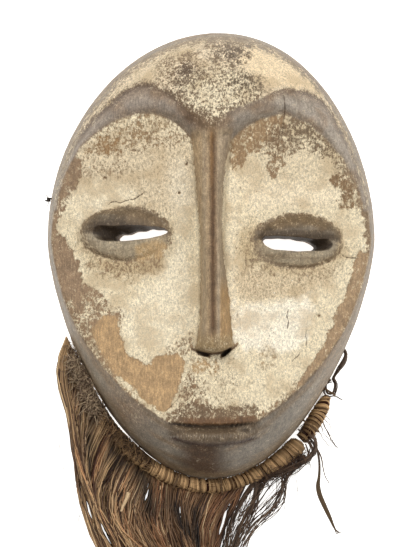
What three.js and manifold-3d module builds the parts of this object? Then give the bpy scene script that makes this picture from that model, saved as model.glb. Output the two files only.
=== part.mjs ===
// A carved wooden face mask with a beard of plant fibre tied under its jaw, lying on its back rim, face up.
// Millimetres. +X is the viewer's right, +Y runs from the beard to the crown, +Z comes out of the face.
// Shapes are worked out in the mask's own frame: x and y start at the face's middle, and z at the back rim.
import * as THREE from "three";
import { mergeVertices } from "three/addons/utils/BufferGeometryUtils.js";
import Module from "manifold-3d";

const wasm = await Module();
wasm.setup();

// Driving dimensions of the carving
const HALF_WIDTH = 80.7;
const WIDEST_Y = 8; // the level where the mask is widest
const CROWN_REACH = 102; // from the widest level up to the crown
const CHIN_REACH = 118.5; // from the widest level down to the chin
const JAW_TAPER = 0.155; // how much the jaw draws in towards the chin
const TAPER_ROUNDING = 0.05;
const PINCH = 1.1; // how much flatter than an oval the flanks are
const CROWN_LEAN = 3.7; // the crown's shift to the viewer's right
const JAW_SWAY = 0.7; // the jaw's shift to the viewer's left
const FORM_HEIGHT = 54; // height of the egg that the face is cut into
const FULLNESS = { side: 12, crown: 3.4, chin: 4.8 }; // powers of the egg's section: high is steep-walled
const BEARD_REACH = 236; // from the face's middle down to the beard's last tip

// The heart-shaped face: its jaw edge, and the two lobes under the brows
const JAW_EDGE = { y: 5, halfWidth: 79, reach: 93, power: 1.62 };
const BROW_LOBES = [
  { x: -32, y: 22, inner: 33, outer: 43.4, reach: 47.5, innerPower: 2, outerPower: 1.85 },
  { x: 35.5, y: 18.5, inner: 43.6, outer: 40, reach: 50.5, innerPower: 1.8, outerPower: 1.62 },
];
const FACE_PLANE = { height: 36, sideFall: 7, mouthRise: 8.5, topRise: 3, socketDepth: 2.5 };
const BROW_DRAFT = 5; // how far the brow's edge slopes outward over BROW_RISE
const BROW_RISE = 14;
const FACE_CUT = { below: 8, above: 40 }; // how far the outline's cutter runs past the face's plane
const CUT_BOTTOM = 25;
const CUT_TOP = 80;
const ROOT_DIP = { x: 0.5, y: 50, z: 47, halfWidth: 17, halfLength: 23, depth: 14 };

// The nose, by stations down its length: half widths at the face and at the crest, and the crest's height
const NOSE_STATIONS = [
  { y: 66, x: 1, base: 12, crest: 5, z: 43 },
  { y: 58, x: 0.6, base: 11, crest: 4.6, z: 46.5 },
  { y: 50, x: 0.2, base: 9.4, crest: 4.2, z: 48.2 },
  { y: 36, x: -0.2, base: 7.6, crest: 3.8, z: 49.6 },
  { y: 12, x: 0.2, base: 6, crest: 3.4, z: 51 },
  { y: -12, x: 0.9, base: 6.4, crest: 3.3, z: 52.6 },
  { y: -32, x: 1.5, base: 7.6, crest: 3.5, z: 53.8 },
  { y: -41, x: 1.4, base: 8.6, crest: 4, z: 53.2 },
  { y: -45.6, x: 1.3, base: 9, crest: 4.2, z: 51 },
  { y: -47.2, x: 1.2, base: 8.3, crest: 3.4, z: 48.4 },
];
// The section at each station: how it flares into the face, and where its flat sides meet the crest
const NOSE = { root: 30, flare: 0.8, shoulder: 0.62, drawIn: 0.45, bevel: 1, flat: 0.55 };
const NOSTRILS = [
  { x: -4.6, y: -48 },
  { x: 7, y: -47.4 },
];
const NOSTRIL = { halfWidth: 3.6, halfHeight: 2.2, depth: 4.5 };

const EYES = [
  { x: -41.8, y: 10.6, tilt: 0.02, side: -1 },
  { x: 42.3, y: 6.7, tilt: -0.03, side: 1 },
];
const EYE_MOUND = { halfWidth: 22.4, halfHeight: 13.4, rise: 6.4, sunk: 1.5 };
const EYE_SLIT = { halfWidth: 17.8, up: 3, down: 3.4, y: 0.6 };
const EYE_THROUGH = { halfWidth: 11.8, halfHeight: 2.9, inward: 6.2, y: -0.4, depth: 13 };

const MOUTH = { x: 0.6, y: -83.4, halfWidth: 20.2, halfHeight: 3.1, depth: 4.4 };
const UPPER_LIP = { x: 0.3, y: -79.8, halfWidth: 20.6, halfHeight: 2.3, rise: 1.3 };
const LOWER_LIP = { x: 1.2, y: -88.2, halfWidth: 17.6, halfHeight: 4.4, rise: 2.6 };

// The hollow behind the face
const HOLLOW = { wall: 8.5, ceiling: 27, squareness: 4 };

// The rope round the jaw, by stations: the angle round the outline, the offset from the wood, and the radius
const ROPE_Z = 5;
const ROPE_STATIONS = [
  { angle: 205, offset: 4, radius: 2 },
  { angle: 212, offset: 4.2, radius: 2.6 },
  { angle: 226, offset: 4.8, radius: 2.8 },
  { angle: 241, offset: 4.4, radius: 3.2 },
  { angle: 270, offset: 3.6, radius: 2.9 },
  { angle: 288, offset: 3.7, radius: 3 },
  { angle: 297, offset: 4.8, radius: 3.8 },
  { angle: 302.5, offset: 5.5, radius: 4 },
];
const ROPE_END_STATIONS = [
  { angle: 306.3, offset: 4.8, radius: 2.9 },
  { angle: 312, offset: 4.8, radius: 3.3 },
  { angle: 318, offset: 4, radius: 2.8 },
  { angle: 322, offset: 2.8, radius: 1.7 },
  { angle: 331, offset: 1.7, radius: 1.1 },
];
const TIES = { thread: 0.6, inner: -12.9, low: 0.7, high: 9.2, squareness: 0.5 };
const TIE_ANGLES = [209, 224, 240, 257, 274, 290, 311, 321.5];
const TIE_HOLE_RADIUS = 1.9;
const TIE_NOTCH = { width: 3, depth: 2.2 };
const TEMPLE_HOLES = { angles: [168.5, 14], radius: 1.7, z: 10 };
const CLEARANCE = 0.42;

// The beard's locks lie side by side between partings, which run from the rope to the beard's tips.
// Each row gives the beard's left and right edge at a level on the way down.
const LOCKS = { count: 9, rows: 9, across: 6, gap: 0.48 };
const BEARD_ROOTS = [206, 301]; // degrees round the outline
const BEARD_LEVELS = [
  { y: -126, left: -63, right: 29, drop: 20 },
  { y: -148, left: -53, right: 17, drop: 9 },
  { y: -178, left: -40, right: 8, drop: 3 },
  { y: -204, left: -29, right: 1, drop: 0 },
];
const BEARD_SHOULDER = { share: 0.55, bulge: 3.5 };
const BEARD_TIP = { x: -12, spread: 0.7, middle: -BEARD_REACH, side: 16 };
const LOCK_HEIGHT = { left: 12, right: 6, root: 7.5, tip: 0.3 };
const LOCK_BASE = 0.6; // the thickness at a lock's edges
const ROOT_GAP = 1.4; // between the rope's ties and the locks

// The loose end of a tie that hangs from the right of the jaw
const LOOSE_END_RADIUS = 0.8;
const LOOSE_END_ROUTE = [
  [49.4, -91.4, 3.2],
  [50.6, -92.9, 1.9],
  [52.2, -95.6, 1.2],
  [53.3, -100.1, 0.9],
  [53.6, -104.6, 0.9],
  [53.4, -109.3, 0.9],
  [52.9, -113.9, 0.9],
  [53.7, -118.2, 0.9],
  [55.3, -122.1, 0.9],
  [57.2, -126.2, 0.9],
  [59.1, -130.3, 0.9],
  [60.4, -133.4, 0.9],
  [61.8, -136.2, 0.9],
];

// The stub of thread in the left temple's hole
const TEMPLE_THREAD = { radii: [0.7, 0.7, 0.7, 0.8, 1.5, 1.3, 0.6, 0.5], from: -5, to: 4.2, swing: -1 };

// How finely the solids are faceted
const AROUND = 72;
const FACE_AROUND = 96;
const FACE_GRID = { columns: 17, rows: 19, left: -84, right: 84, bottom: -96, top: 78, ceiling: 75 };
const HOLLOW_RINGS = 7;
const WALL_RINGS = 6;
const WALL_SHARE = 0.75; // of the egg's height
const TOP_RINGS = 6;
const FINENESS = 0.03; // the least detail that joins and cuts keep
const BLUNTNESS = 0.4; // how far a tube's tip stands out, as a share of its radius

const rad = (degrees) => (degrees * Math.PI) / 180;
const clamp = (value, low, high) => Math.min(Math.max(value, low), high);
const mix = (a, b, share) => a + (b - a) * share;
const bell = (value, width) => Math.exp(-((value / width) ** 2));

function smooth(low, high, value) {
  const t = clamp((value - low) / (high - low), 0, 1);
  return t * t * (3 - 2 * t);
}

// The outline

/** The point where the outline lies in the direction phi, turned from +X. */
function outline(phi) {
  const rise = Math.sin(phi);
  const fall = Math.max(0, -rise);
  const taper = 1 - JAW_TAPER * (Math.hypot(fall, TAPER_ROUNDING) - TAPER_ROUNDING);
  const flank = Math.sin(2 * phi) ** 2;
  const width = HALF_WIDTH * taper - PINCH * flank;
  const shift = CROWN_LEAN * Math.max(0, rise) ** 3 - (fall > 0 ? JAW_SWAY * flank : 0);
  const reach = rise > 0 ? CROWN_REACH : CHIN_REACH;
  return new THREE.Vector2(width * Math.cos(phi) + shift, WIDEST_Y + reach * rise);
}

/** The outline's direction out of the wood at phi. */
function outward(phi) {
  const step = 0.01;
  const along = outline(phi + step).sub(outline(phi - step));
  return new THREE.Vector2(along.y, -along.x).normalize();
}

/** A point offset out of the outline at phi. */
function beside(phi, offset, z) {
  const edge = outline(phi).addScaledVector(outward(phi), offset);
  return new THREE.Vector3(edge.x, edge.y, z);
}

/** The point a share rho of the way from the middle of the widest level to the outline. */
function within(phi, rho) {
  const edge = outline(phi);
  return new THREE.Vector2(edge.x * rho, mix(WIDEST_Y, edge.y, rho));
}

// The front of the carving

const jawField = (x, y) => {
  const across = Math.abs(x / JAW_EDGE.halfWidth) ** JAW_EDGE.power;
  const down = (Math.max(0, JAW_EDGE.y - y) / JAW_EDGE.reach) ** JAW_EDGE.power;
  return across + down;
};

const lobeField = (lobe, x, y) => {
  const outer = Math.sign(x - lobe.x) === Math.sign(lobe.x);
  const across = Math.abs(x - lobe.x) / (outer ? lobe.outer : lobe.inner);
  const up = Math.max(0, y - lobe.y) / lobe.reach;
  const power = outer ? lobe.outerPower : lobe.innerPower;
  return across ** power + up ** power;
};

/** Whether a point lies in the heart-shaped face. */
function inFace(x, y) {
  const underBrow = (lobe) => y < lobe.y || lobeField(lobe, x, y) < 1;
  return jawField(x, y) < 1 && BROW_LOBES.some(underBrow);
}

/** The share of the way out at which the ray at phi leaves the face. */
function faceEdge(phi) {
  let [low, high] = [0, 1];
  for (let i = 0; i < 24; i++) {
    const middle = (low + high) / 2;
    const { x, y } = within(phi, middle);
    if (inFace(x, y)) low = middle;
    else high = middle;
  }
  return low;
}

/** The slightly dished plane of the face, without nose, eyes and mouth. */
function facePlane(x, y) {
  const sides = FACE_PLANE.sideFall * (x / JAW_EDGE.halfWidth) ** 2;
  const mouth = FACE_PLANE.mouthRise * clamp(-y / 80, 0, 1.2) ** 1.5;
  const top = FACE_PLANE.topRise * clamp(y / 66, 0, 1) ** 2;
  const socket = FACE_PLANE.socketDepth * bell(Math.abs(x) - 40, 24) * bell(y - 10, 26);
  return FACE_PLANE.height - sides + mouth + top - socket;
}

/** The power of the egg's section in the direction phi. */
function fullness(phi) {
  const rise = Math.sin(phi);
  const end = rise > 0 ? FULLNESS.crown : FULLNESS.chin;
  return mix(FULLNESS.side, end, Math.abs(rise) ** 0.5);
}

/** The egg's full height in the direction phi: below the eyes its surface meets the face's edge. */
function formHeight(phi) {
  const edge = faceEdge(phi);
  const { x, y } = within(phi, edge);
  const meeting = (facePlane(x, y) + 0.5) / Math.sqrt(1 - edge ** fullness(phi));
  return mix(Math.min(meeting, FORM_HEIGHT + 3), FORM_HEIGHT, smooth(-0.45, 0, Math.sin(phi)));
}

// Meshes from rings of points

/** A closed mesh from rings of points, each ring closed on itself, with a cap at each end. */
function closedRings(rings, startCap, endCap) {
  const points = [...rings.flat(), startCap, endCap];
  const around = rings[0].length;
  const start = points.length - 2;
  const end = points.length - 1;
  const faces = [];
  for (let i = 0; i < around; i++) {
    const next = (i + 1) % around;
    faces.push(start, next, i);
    for (let ring = 0; ring < rings.length - 1; ring++) {
      const low = ring * around;
      const high = low + around;
      faces.push(low + i, low + next, high + next, low + i, high + next, high + i);
    }
    const last = (rings.length - 1) * around;
    faces.push(last + i, last + next, end);
  }
  const geometry = new THREE.BufferGeometry();
  const position = points.flatMap((point) => point.toArray());
  geometry.setAttribute("position", new THREE.Float32BufferAttribute(position, 3));
  geometry.setIndex(faces);
  return geometry;
}

/** The manifold solid of a closed geometry. */
function solidOf(geometry) {
  const bare = geometry.clone();
  bare.deleteAttribute("normal");
  bare.deleteAttribute("uv");
  const merged = mergeVertices(bare, 1e-3);
  const mesh = new wasm.Mesh({
    numProp: 3,
    vertProperties: Float32Array.from(merged.getAttribute("position").array),
    triVerts: Uint32Array.from(merged.index.array),
    tolerance: FINENESS,
  });
  return new wasm.Manifold(mesh);
}

/** A geometry from a manifold solid. */
function geometryOf(solid) {
  const mesh = solid.getMesh();
  const geometry = new THREE.BufferGeometry();
  geometry.setAttribute("position", new THREE.Float32BufferAttribute(mesh.vertProperties, 3));
  geometry.setIndex(new THREE.Uint32BufferAttribute(mesh.triVerts, 1));
  geometry.computeVertexNormals();
  return geometry;
}

/** A tube with closed ends along points. */
function tube(points, radius, sides, steps) {
  const section = new THREE.Shape();
  for (let i = 0; i < sides; i++) {
    const turn = rad((360 * i) / sides);
    if (i === 0) section.moveTo(radius * Math.cos(turn), radius * Math.sin(turn));
    else section.lineTo(radius * Math.cos(turn), radius * Math.sin(turn));
  }
  section.closePath();
  const path = new THREE.CatmullRomCurve3(points, false, "centripetal");
  return new THREE.ExtrudeGeometry(section, { steps, bevelEnabled: false, extrudePath: path });
}

// The wooden mask

/** The angles of evenly spaced rays round the outline. */
const rays = (count) => Array.from({ length: count }, (_, i) => (2 * Math.PI * i) / count);

/** The egg with its hollow, before the face is cut. */
function eggSolid() {
  const angles = rays(AROUND);
  const rings = [];
  for (let i = 1; i <= HOLLOW_RINGS; i++) {
    const slope = (Math.PI / 2) * (1 - i / HOLLOW_RINGS);
    const share = Math.cos(slope) ** (2 / HOLLOW.squareness);
    rings.push(
      angles.map((phi) => {
        const edge = outline(phi).addScaledVector(outward(phi), -HOLLOW.wall);
        const height = HOLLOW.ceiling * Math.sin(slope);
        return new THREE.Vector3(edge.x * share, mix(WIDEST_Y, edge.y, share), height);
      }),
    );
  }
  const heights = angles.map(formHeight);
  const ring = (shareOf) =>
    angles.map((phi, i) => {
      const share = shareOf(phi);
      const { x, y } = within(phi, share);
      return new THREE.Vector3(x, y, heights[i] * Math.sqrt(1 - share ** fullness(phi)));
    });
  const atHeight = (height) => (phi) => (1 - height ** 2) ** (1 / fullness(phi));
  const shoulder = atHeight(WALL_SHARE);
  for (let i = 0; i <= WALL_RINGS; i++) rings.push(ring(atHeight((WALL_SHARE * i) / WALL_RINGS)));
  for (let i = 1; i < TOP_RINGS; i++) rings.push(ring((phi) => shoulder(phi) * (1 - i / TOP_RINGS)));
  const hollowTop = new THREE.Vector3(0, WIDEST_Y, HOLLOW.ceiling);
  const top = new THREE.Vector3(0, WIDEST_Y, FORM_HEIGHT);
  return solidOf(closedRings(rings, hollowTop, top));
}

/** Everything above the face's plane, out past the edges of the mask. */
function aboveFacePlane() {
  const { columns, rows, left, right, bottom, top, ceiling } = FACE_GRID;
  const rings = Array.from({ length: rows + 1 }, (_, row) => {
    const y = mix(top, bottom, row / rows);
    const floor = Array.from({ length: columns + 1 }, (_, column) => {
      const x = mix(left, right, column / columns);
      return new THREE.Vector3(x, y, facePlane(x, y));
    });
    return [...floor, new THREE.Vector3(right, y, ceiling), new THREE.Vector3(left, y, ceiling)];
  });
  const cap = (y) => new THREE.Vector3((left + right) / 2, y, (ceiling + FACE_PLANE.height) / 2);
  return solidOf(closedRings(rings, cap(top), cap(bottom)));
}

/** The heart-shaped outline of the face drawn upward, with the brows' edges sloping outward. */
function faceOutline() {
  const angles = rays(FACE_AROUND).map((phi) => phi + 0.01);
  const feet = angles.map((phi) => within(phi, faceEdge(phi)));
  const ring = (rise) =>
    angles.map((phi, i) => {
      const draft = BROW_DRAFT * smooth(-0.3, 0.3, Math.sin(phi)) * Math.min(1, rise / BROW_RISE);
      const foot = feet[i].clone().addScaledVector(outward(phi), draft);
      return new THREE.Vector3(foot.x, foot.y, facePlane(feet[i].x, feet[i].y) + rise);
    });
  const cap = (z) => new THREE.Vector3(0, WIDEST_Y, z);
  const { below, above } = FACE_CUT;
  return solidOf(closedRings([ring(-below), ring(BROW_RISE), ring(above)], cap(CUT_BOTTOM), cap(CUT_TOP)));
}

/** An ellipsoid, by its middle and half sizes. */
function ellipsoid(x, y, z, halfX, halfY, halfZ, fineness) {
  const ball = new THREE.SphereGeometry(1, fineness, Math.round(fineness / 2));
  ball.rotateX(Math.PI / 2);
  ball.scale(halfX, halfY, halfZ);
  ball.translate(x, y, z);
  return solidOf(ball);
}

/** The long nose: flat sides up to a narrow crest, from the brows down to the wings. */
function noseSolid() {
  const rings = NOSE_STATIONS.map(({ y, x, base, crest, z }) => {
    const foot = facePlane(x, y) - 1;
    const half = [
      [base + NOSE.flare, NOSE.root],
      [base + NOSE.flare, foot],
      [mix(base, crest, NOSE.drawIn), mix(foot, z, NOSE.shoulder)],
      [crest, z - NOSE.bevel],
      [crest * NOSE.flat, z],
    ];
    const side = (way) => half.map(([dx, height]) => new THREE.Vector3(x + way * dx, y, height));
    return [...side(1), ...side(-1).reverse()];
  });
  const cap = (station) => new THREE.Vector3(station.x, station.y, FACE_PLANE.height);
  return solidOf(closedRings(rings, cap(NOSE_STATIONS[0]), cap(NOSE_STATIONS.at(-1))));
}

function eyeMound(eye) {
  const { halfWidth, halfHeight, rise, sunk } = EYE_MOUND;
  const z = facePlane(eye.x, eye.y) - sunk;
  return ellipsoid(eye.x, eye.y, z, halfWidth, halfHeight, rise + sunk, 22);
}

/** A lip: a low half-round ridge across the mouth. */
function lipSolid(lip) {
  const z = facePlane(lip.x, lip.y) - lip.rise;
  return ellipsoid(lip.x, lip.y, z, lip.halfWidth, lip.halfHeight, lip.rise * 2, 14);
}

/** The cutter for the shallow dip in the brows above the nose. */
function rootDip() {
  const { x, y, z, halfWidth, halfLength, depth } = ROOT_DIP;
  return ellipsoid(x, y, z + depth, halfWidth, halfLength, depth, 18);
}

/** The cutter for a dent in the face: half of an ellipsoid that starts just above the face's plane. */
function dent(place, { halfWidth, halfHeight, depth }, fineness) {
  const z = facePlane(place.x, place.y) + 1;
  return ellipsoid(place.x, place.y, z, halfWidth, halfHeight, depth, fineness);
}

/** A lens-shaped cutter for an eye: the slit at the lids narrows to a smaller hole through the wood. */
function eyeCutter(eye) {
  const around = 16;
  const lens = (halfWidth, up, down, shiftX, shiftY, z) =>
    Array.from({ length: around }, (_, i) => {
      const turn = rad((360 * i) / around);
      const side = Math.sin(turn) > 0 ? up : down;
      const dx = shiftX + halfWidth * Math.cos(turn);
      const dy = shiftY + side * Math.sin(turn) * Math.abs(Math.sin(turn)) ** 0.2;
      return new THREE.Vector3(eye.x + dx, eye.y + dy + eye.tilt * dx, z);
    });
  const inward = -eye.side * EYE_THROUGH.inward;
  const through = (z) =>
    lens(EYE_THROUGH.halfWidth, EYE_THROUGH.halfHeight, EYE_THROUGH.halfHeight, inward, EYE_THROUGH.y, z);
  const lid = (z) => lens(EYE_SLIT.halfWidth, EYE_SLIT.up, EYE_SLIT.down, 0, EYE_SLIT.y, z);
  const lidZ = FACE_PLANE.height - 1;
  const rings = [through(-1), through(lidZ - EYE_THROUGH.depth), lid(lidZ), lid(lidZ + 20)];
  const middle = (ring) => ring.reduce((sum, p) => sum.add(p), new THREE.Vector3()).divideScalar(around);
  return solidOf(closedRings(rings, middle(rings[0]), middle(rings[3])));
}

/** A round hole bored in from the outside of the wall at phi. */
function wallHole(phi, radius, z, depth) {
  const bore = new THREE.CylinderGeometry(radius, radius, depth, 8);
  bore.rotateZ(Math.PI / 2);
  const out = outward(phi);
  bore.rotateZ(Math.atan2(out.y, out.x));
  const middle = beside(phi, -depth / 2 + 4, z);
  bore.translate(middle.x, middle.y, middle.z);
  return solidOf(bore);
}

/** A shallow notch across the back rim, where a tie passes under it. */
function rimNotch(phi) {
  const notch = new THREE.BoxGeometry(HOLLOW.wall + 8, TIE_NOTCH.width, TIE_NOTCH.depth * 2);
  const out = outward(phi);
  notch.rotateZ(Math.atan2(out.y, out.x));
  const middle = beside(phi, -HOLLOW.wall / 2, 0);
  notch.translate(middle.x, middle.y, 0);
  return solidOf(notch);
}

function maskGeometry() {
  let mask = eggSolid().subtract(faceOutline().intersect(aboveFacePlane()));
  mask = mask.subtract(rootDip());
  mask = mask.add(noseSolid());
  for (const eye of EYES) mask = mask.add(eyeMound(eye));
  for (const eye of EYES) mask = mask.subtract(eyeCutter(eye));
  mask = mask.add(lipSolid(LOWER_LIP)).add(lipSolid(UPPER_LIP));
  mask = mask.subtract(dent(MOUTH, MOUTH, 16));
  for (const place of NOSTRILS) mask = mask.subtract(dent(place, NOSTRIL, 10));
  for (const angle of TIE_ANGLES) {
    mask = mask.subtract(wallHole(rad(angle), TIE_HOLE_RADIUS, TIES.high, 24));
    mask = mask.subtract(rimNotch(rad(angle)));
  }
  for (const angle of TEMPLE_HOLES.angles) {
    mask = mask.subtract(wallHole(rad(angle), TEMPLE_HOLES.radius, TEMPLE_HOLES.z, 24));
  }
  return geometryOf(mask);
}

// The beard's rope and its ties

/** The rope's offset and radius at an angle, read off the stations on either side of it. */
function ropeAt(stations, angle) {
  const next = clamp(stations.findIndex((station) => station.angle >= angle), 1, stations.length - 1);
  const [a, b] = [stations[next - 1], stations[next]];
  const share = smooth(a.angle, b.angle, angle);
  return { offset: mix(a.offset, b.offset, share), radius: mix(a.radius, b.radius, share) };
}

/** A closed tube of changing thickness along points, with a blunt tip at each end. */
function taperedTube(points, radii, sides) {
  const curve = new THREE.CatmullRomCurve3(points, false, "centripetal");
  const rings = points.map((point, i) => {
    const along = curve.getTangent(i / (points.length - 1));
    const across = new THREE.Vector3().crossVectors(along, new THREE.Vector3(0, 0, 1)).normalize();
    const up = new THREE.Vector3().crossVectors(across, along);
    return Array.from({ length: sides }, (_, k) => {
      const turn = rad((360 * k) / sides);
      const side = across.clone().multiplyScalar(radii[i] * Math.cos(turn));
      return point.clone().add(side).addScaledVector(up, -radii[i] * Math.sin(turn));
    });
  });
  const last = points.length - 1;
  const start = points[0].clone().addScaledVector(curve.getTangent(0), -radii[0] * BLUNTNESS);
  const end = points[last].clone().addScaledVector(curve.getTangent(1), radii[last] * BLUNTNESS);
  return closedRings(rings, start, end);
}

/** A length of rope beside the jaw, through all of its stations. */
function ropeGeometry(stations, spacing) {
  const [first, last] = [stations[0].angle, stations.at(-1).angle];
  const count = Math.ceil((last - first) / spacing);
  const angles = Array.from({ length: count + 1 }, (_, i) => mix(first, last, i / count));
  const widths = angles.map((angle) => ropeAt(stations, angle));
  const points = angles.map((angle, i) => beside(rad(angle), widths[i].offset, ROPE_Z));
  return taperedTube(points, widths.map((width) => width.radius), 8);
}

/** The rope's furthest reach out of the wood at an angle. */
function ropeReach(angle) {
  const stations = angle < ROPE_END_STATIONS[0].angle ? ROPE_STATIONS : ROPE_END_STATIONS;
  const { offset, radius } = ropeAt(stations, angle);
  return offset + radius;
}

/** A squarish ring of thread round the rope, through the wall and under the back rim. */
function tieGeometry(angle) {
  const outer = ropeReach(angle) + CLEARANCE + TIES.thread;
  const half = { x: (outer - TIES.inner) / 2, z: (TIES.high - TIES.low) / 2 };
  const ring = new THREE.TorusGeometry(1, TIES.thread, 5, 12);
  const position = ring.getAttribute("position");
  const squared = (value) => Math.sign(value) * Math.abs(value) ** TIES.squareness;
  for (let i = 0; i < position.count; i++) {
    const turn = Math.atan2(position.getY(i), position.getX(i));
    const thick = Math.hypot(position.getX(i), position.getY(i)) - 1;
    position.setX(i, half.x * squared(Math.cos(turn)) + thick * Math.cos(turn));
    position.setY(i, half.z * squared(Math.sin(turn)) + thick * Math.sin(turn));
  }
  ring.rotateX(Math.PI / 2);
  const out = outward(rad(angle));
  ring.rotateZ(Math.atan2(out.y, out.x));
  const middle = beside(rad(angle), outer - half.x, (TIES.high + TIES.low) / 2);
  ring.translate(middle.x, middle.y, middle.z);
  return ring;
}

/** The parting that lies a share of the way from the beard's left edge to its right edge. */
function parting(share) {
  const angle = mix(...BEARD_ROOTS, share);
  const root = beside(rad(angle), ropeReach(angle) + 2 * TIES.thread + ROOT_GAP, 0);
  const arch = Math.sin(Math.PI * clamp(share * 1.1, 0, 1));
  const stops = BEARD_LEVELS.map(
    (level) => new THREE.Vector3(mix(level.left, level.right, share), level.y - level.drop * arch, 0),
  );
  const shoulder = root.clone().lerp(stops[0], BEARD_SHOULDER.share);
  shoulder.x -= BEARD_SHOULDER.bulge * (1 - 1.3 * share);
  return new THREE.CatmullRomCurve3([root, shoulder, ...stops], false, "centripetal");
}

/** One lock of the beard: a low rounded mat between two partings, flat below, drawn in to a tip. */
function lockGeometry(index) {
  const left = parting(index / LOCKS.count);
  const right = parting((index + 1) / LOCKS.count);
  const share = (index + 0.5) / LOCKS.count;
  const full = mix(LOCK_HEIGHT.left, LOCK_HEIGHT.right, share);
  const rings = Array.from({ length: LOCKS.rows + 1 }, (_, row) => {
    const down = row / LOCKS.rows;
    const a = left.getPoint(down);
    const b = right.getPoint(down);
    const gap = b.clone().sub(a).setLength(LOCKS.gap);
    a.add(gap);
    b.sub(gap);
    const swell = mix(LOCK_HEIGHT.root, full, smooth(0, 0.35, down));
    const height = mix(swell, full * LOCK_HEIGHT.tip, down ** 2);
    const top = Array.from({ length: LOCKS.across }, (_, i) => {
      const part = i / (LOCKS.across - 1);
      const crown = Math.sqrt(Math.max(0, 1 - (2 * part - 1) ** 2));
      return b.clone().lerp(a, part).setZ(LOCK_BASE + height * crown);
    });
    return [b, ...top, a];
  });
  const bottom = rings.at(-1);
  const end = bottom[0].clone().lerp(bottom.at(-1), 0.5);
  const tip = new THREE.Vector3(
    mix(BEARD_TIP.x, end.x, BEARD_TIP.spread),
    BEARD_TIP.middle + BEARD_TIP.side * (2 * share - 1) ** 2,
    0,
  );
  rings.push(bottom.map((point) => point.clone().lerp(tip, 0.6).setZ(point.z * 0.6)));
  const root = rings[0][0].clone().lerp(rings[0].at(-1), 0.5).setZ(2);
  return closedRings(rings, root, tip);
}

/** The stub of dark thread in the left temple's hole, with its knot. */
function templeThread() {
  const { radii, from, to, swing } = TEMPLE_THREAD;
  const points = radii.map((_, i) => {
    const share = i / (radii.length - 1);
    const turn = TEMPLE_HOLES.angles[0] - swing * smooth(0.5, 1, share);
    return beside(rad(turn), mix(from, to, share), TEMPLE_HOLES.z);
  });
  return taperedTube(points, radii, 8);
}

// Materials
const wood = new THREE.MeshStandardMaterial({ color: 0xb9a17c, roughness: 0.78, metalness: 0 });
const cordage = new THREE.MeshStandardMaterial({ color: 0x6d5238, roughness: 0.9, metalness: 0 });
const fibre = new THREE.MeshStandardMaterial({ color: 0x5b432f, roughness: 0.85, metalness: 0 });

const object = new THREE.Group();

function add(name, geometry, material) {
  const mesh = new THREE.Mesh(geometry, material);
  mesh.name = name;
  object.add(mesh);
}

add("wooden_mask", maskGeometry(), wood);
add("beard_rope", ropeGeometry(ROPE_STATIONS, 4.5), cordage);
add("beard_rope_end", ropeGeometry(ROPE_END_STATIONS, 2.2), cordage);
TIE_ANGLES.forEach((angle, i) => add(`rope_tie_${i + 1}`, tieGeometry(angle), cordage));
for (let i = 0; i < LOCKS.count; i++) add(`beard_lock_${i + 1}`, lockGeometry(i), fibre);
const loosePoints = LOOSE_END_ROUTE.map((point) => new THREE.Vector3(...point));
add("loose_tie_end", tube(loosePoints, LOOSE_END_RADIUS, 8, 14), cordage);
add("temple_thread", templeThread(), cordage);

// The origin is the middle of the whole object's box, on the surface that it lies on.
const box = new THREE.Box3().setFromObject(object);
object.position.set(-(box.min.x + box.max.x) / 2, -(box.min.y + box.max.y) / 2, 0);

export default object;
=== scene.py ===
"""A carved wooden face mask, whitened with clay, with a beard of plant fibre tied under its jaw.

The mask lies on its back rim with its face up, and the camera looks straight down on it.
Shapes are worked out in millimetres in the mask's own frame: x and y start at the face's middle,
and z at the back rim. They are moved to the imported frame, in metres, when a piece is made.
"""

import logging
import math
from dataclasses import dataclass, field
from enum import Enum

import bpy
import numpy as np
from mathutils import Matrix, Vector
from mathutils.kdtree import KDTree


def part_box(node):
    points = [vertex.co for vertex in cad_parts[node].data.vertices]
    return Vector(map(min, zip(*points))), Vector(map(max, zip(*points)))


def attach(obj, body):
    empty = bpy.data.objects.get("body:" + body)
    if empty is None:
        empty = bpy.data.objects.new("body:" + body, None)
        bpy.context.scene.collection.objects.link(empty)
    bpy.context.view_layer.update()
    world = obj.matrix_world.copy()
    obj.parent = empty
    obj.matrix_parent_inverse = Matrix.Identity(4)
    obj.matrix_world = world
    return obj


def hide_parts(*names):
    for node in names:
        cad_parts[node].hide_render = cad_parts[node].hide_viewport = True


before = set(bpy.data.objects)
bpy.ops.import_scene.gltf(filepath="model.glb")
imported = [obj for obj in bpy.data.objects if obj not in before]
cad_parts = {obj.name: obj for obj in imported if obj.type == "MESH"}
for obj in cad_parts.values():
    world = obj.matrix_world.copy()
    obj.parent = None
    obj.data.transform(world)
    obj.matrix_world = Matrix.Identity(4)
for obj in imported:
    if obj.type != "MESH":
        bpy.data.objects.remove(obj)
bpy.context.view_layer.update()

Array = np.ndarray
Place = tuple[float, float]  # x and y
Point = tuple[float, float, float]  # x, y and z
Size = float | Point  # the same all ways, or along x, y and z
Socket = bpy.types.NodeSocket
Material = bpy.types.Material
Piece = bpy.types.Object
Colour = tuple[float, float, float]  # linear shares of red, green and blue
Tone = tuple[int, int, int]  # red, green and blue from 0 to 255

LOG = logging.getLogger("mask")
MM = 0.001
PHOTO_PIXELS = (410, 547)
PIXEL = 0.4944  # millimetres of the mask to a pixel of the photograph
PHOTO_CENTRE = (-2.97, -8.9)  # the photograph's middle, in the mask's frame
NO_HEIGHT = -50.0  # far under every surface
NO_CEILING = 99.0  # far over every surface
FULL_TURN = 2 * math.pi
UP = (0.0, 0.0, 1.0)
ROPE_STEP = 0.5  # millimetres between the points of a rope's middle


class Slot(Enum):
    """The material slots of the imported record."""

    WOOD = "painted_wood"
    ROPE = "fibre_rope"
    BEARD = "beard_fibre"
    THREAD = "dark_thread"


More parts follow.
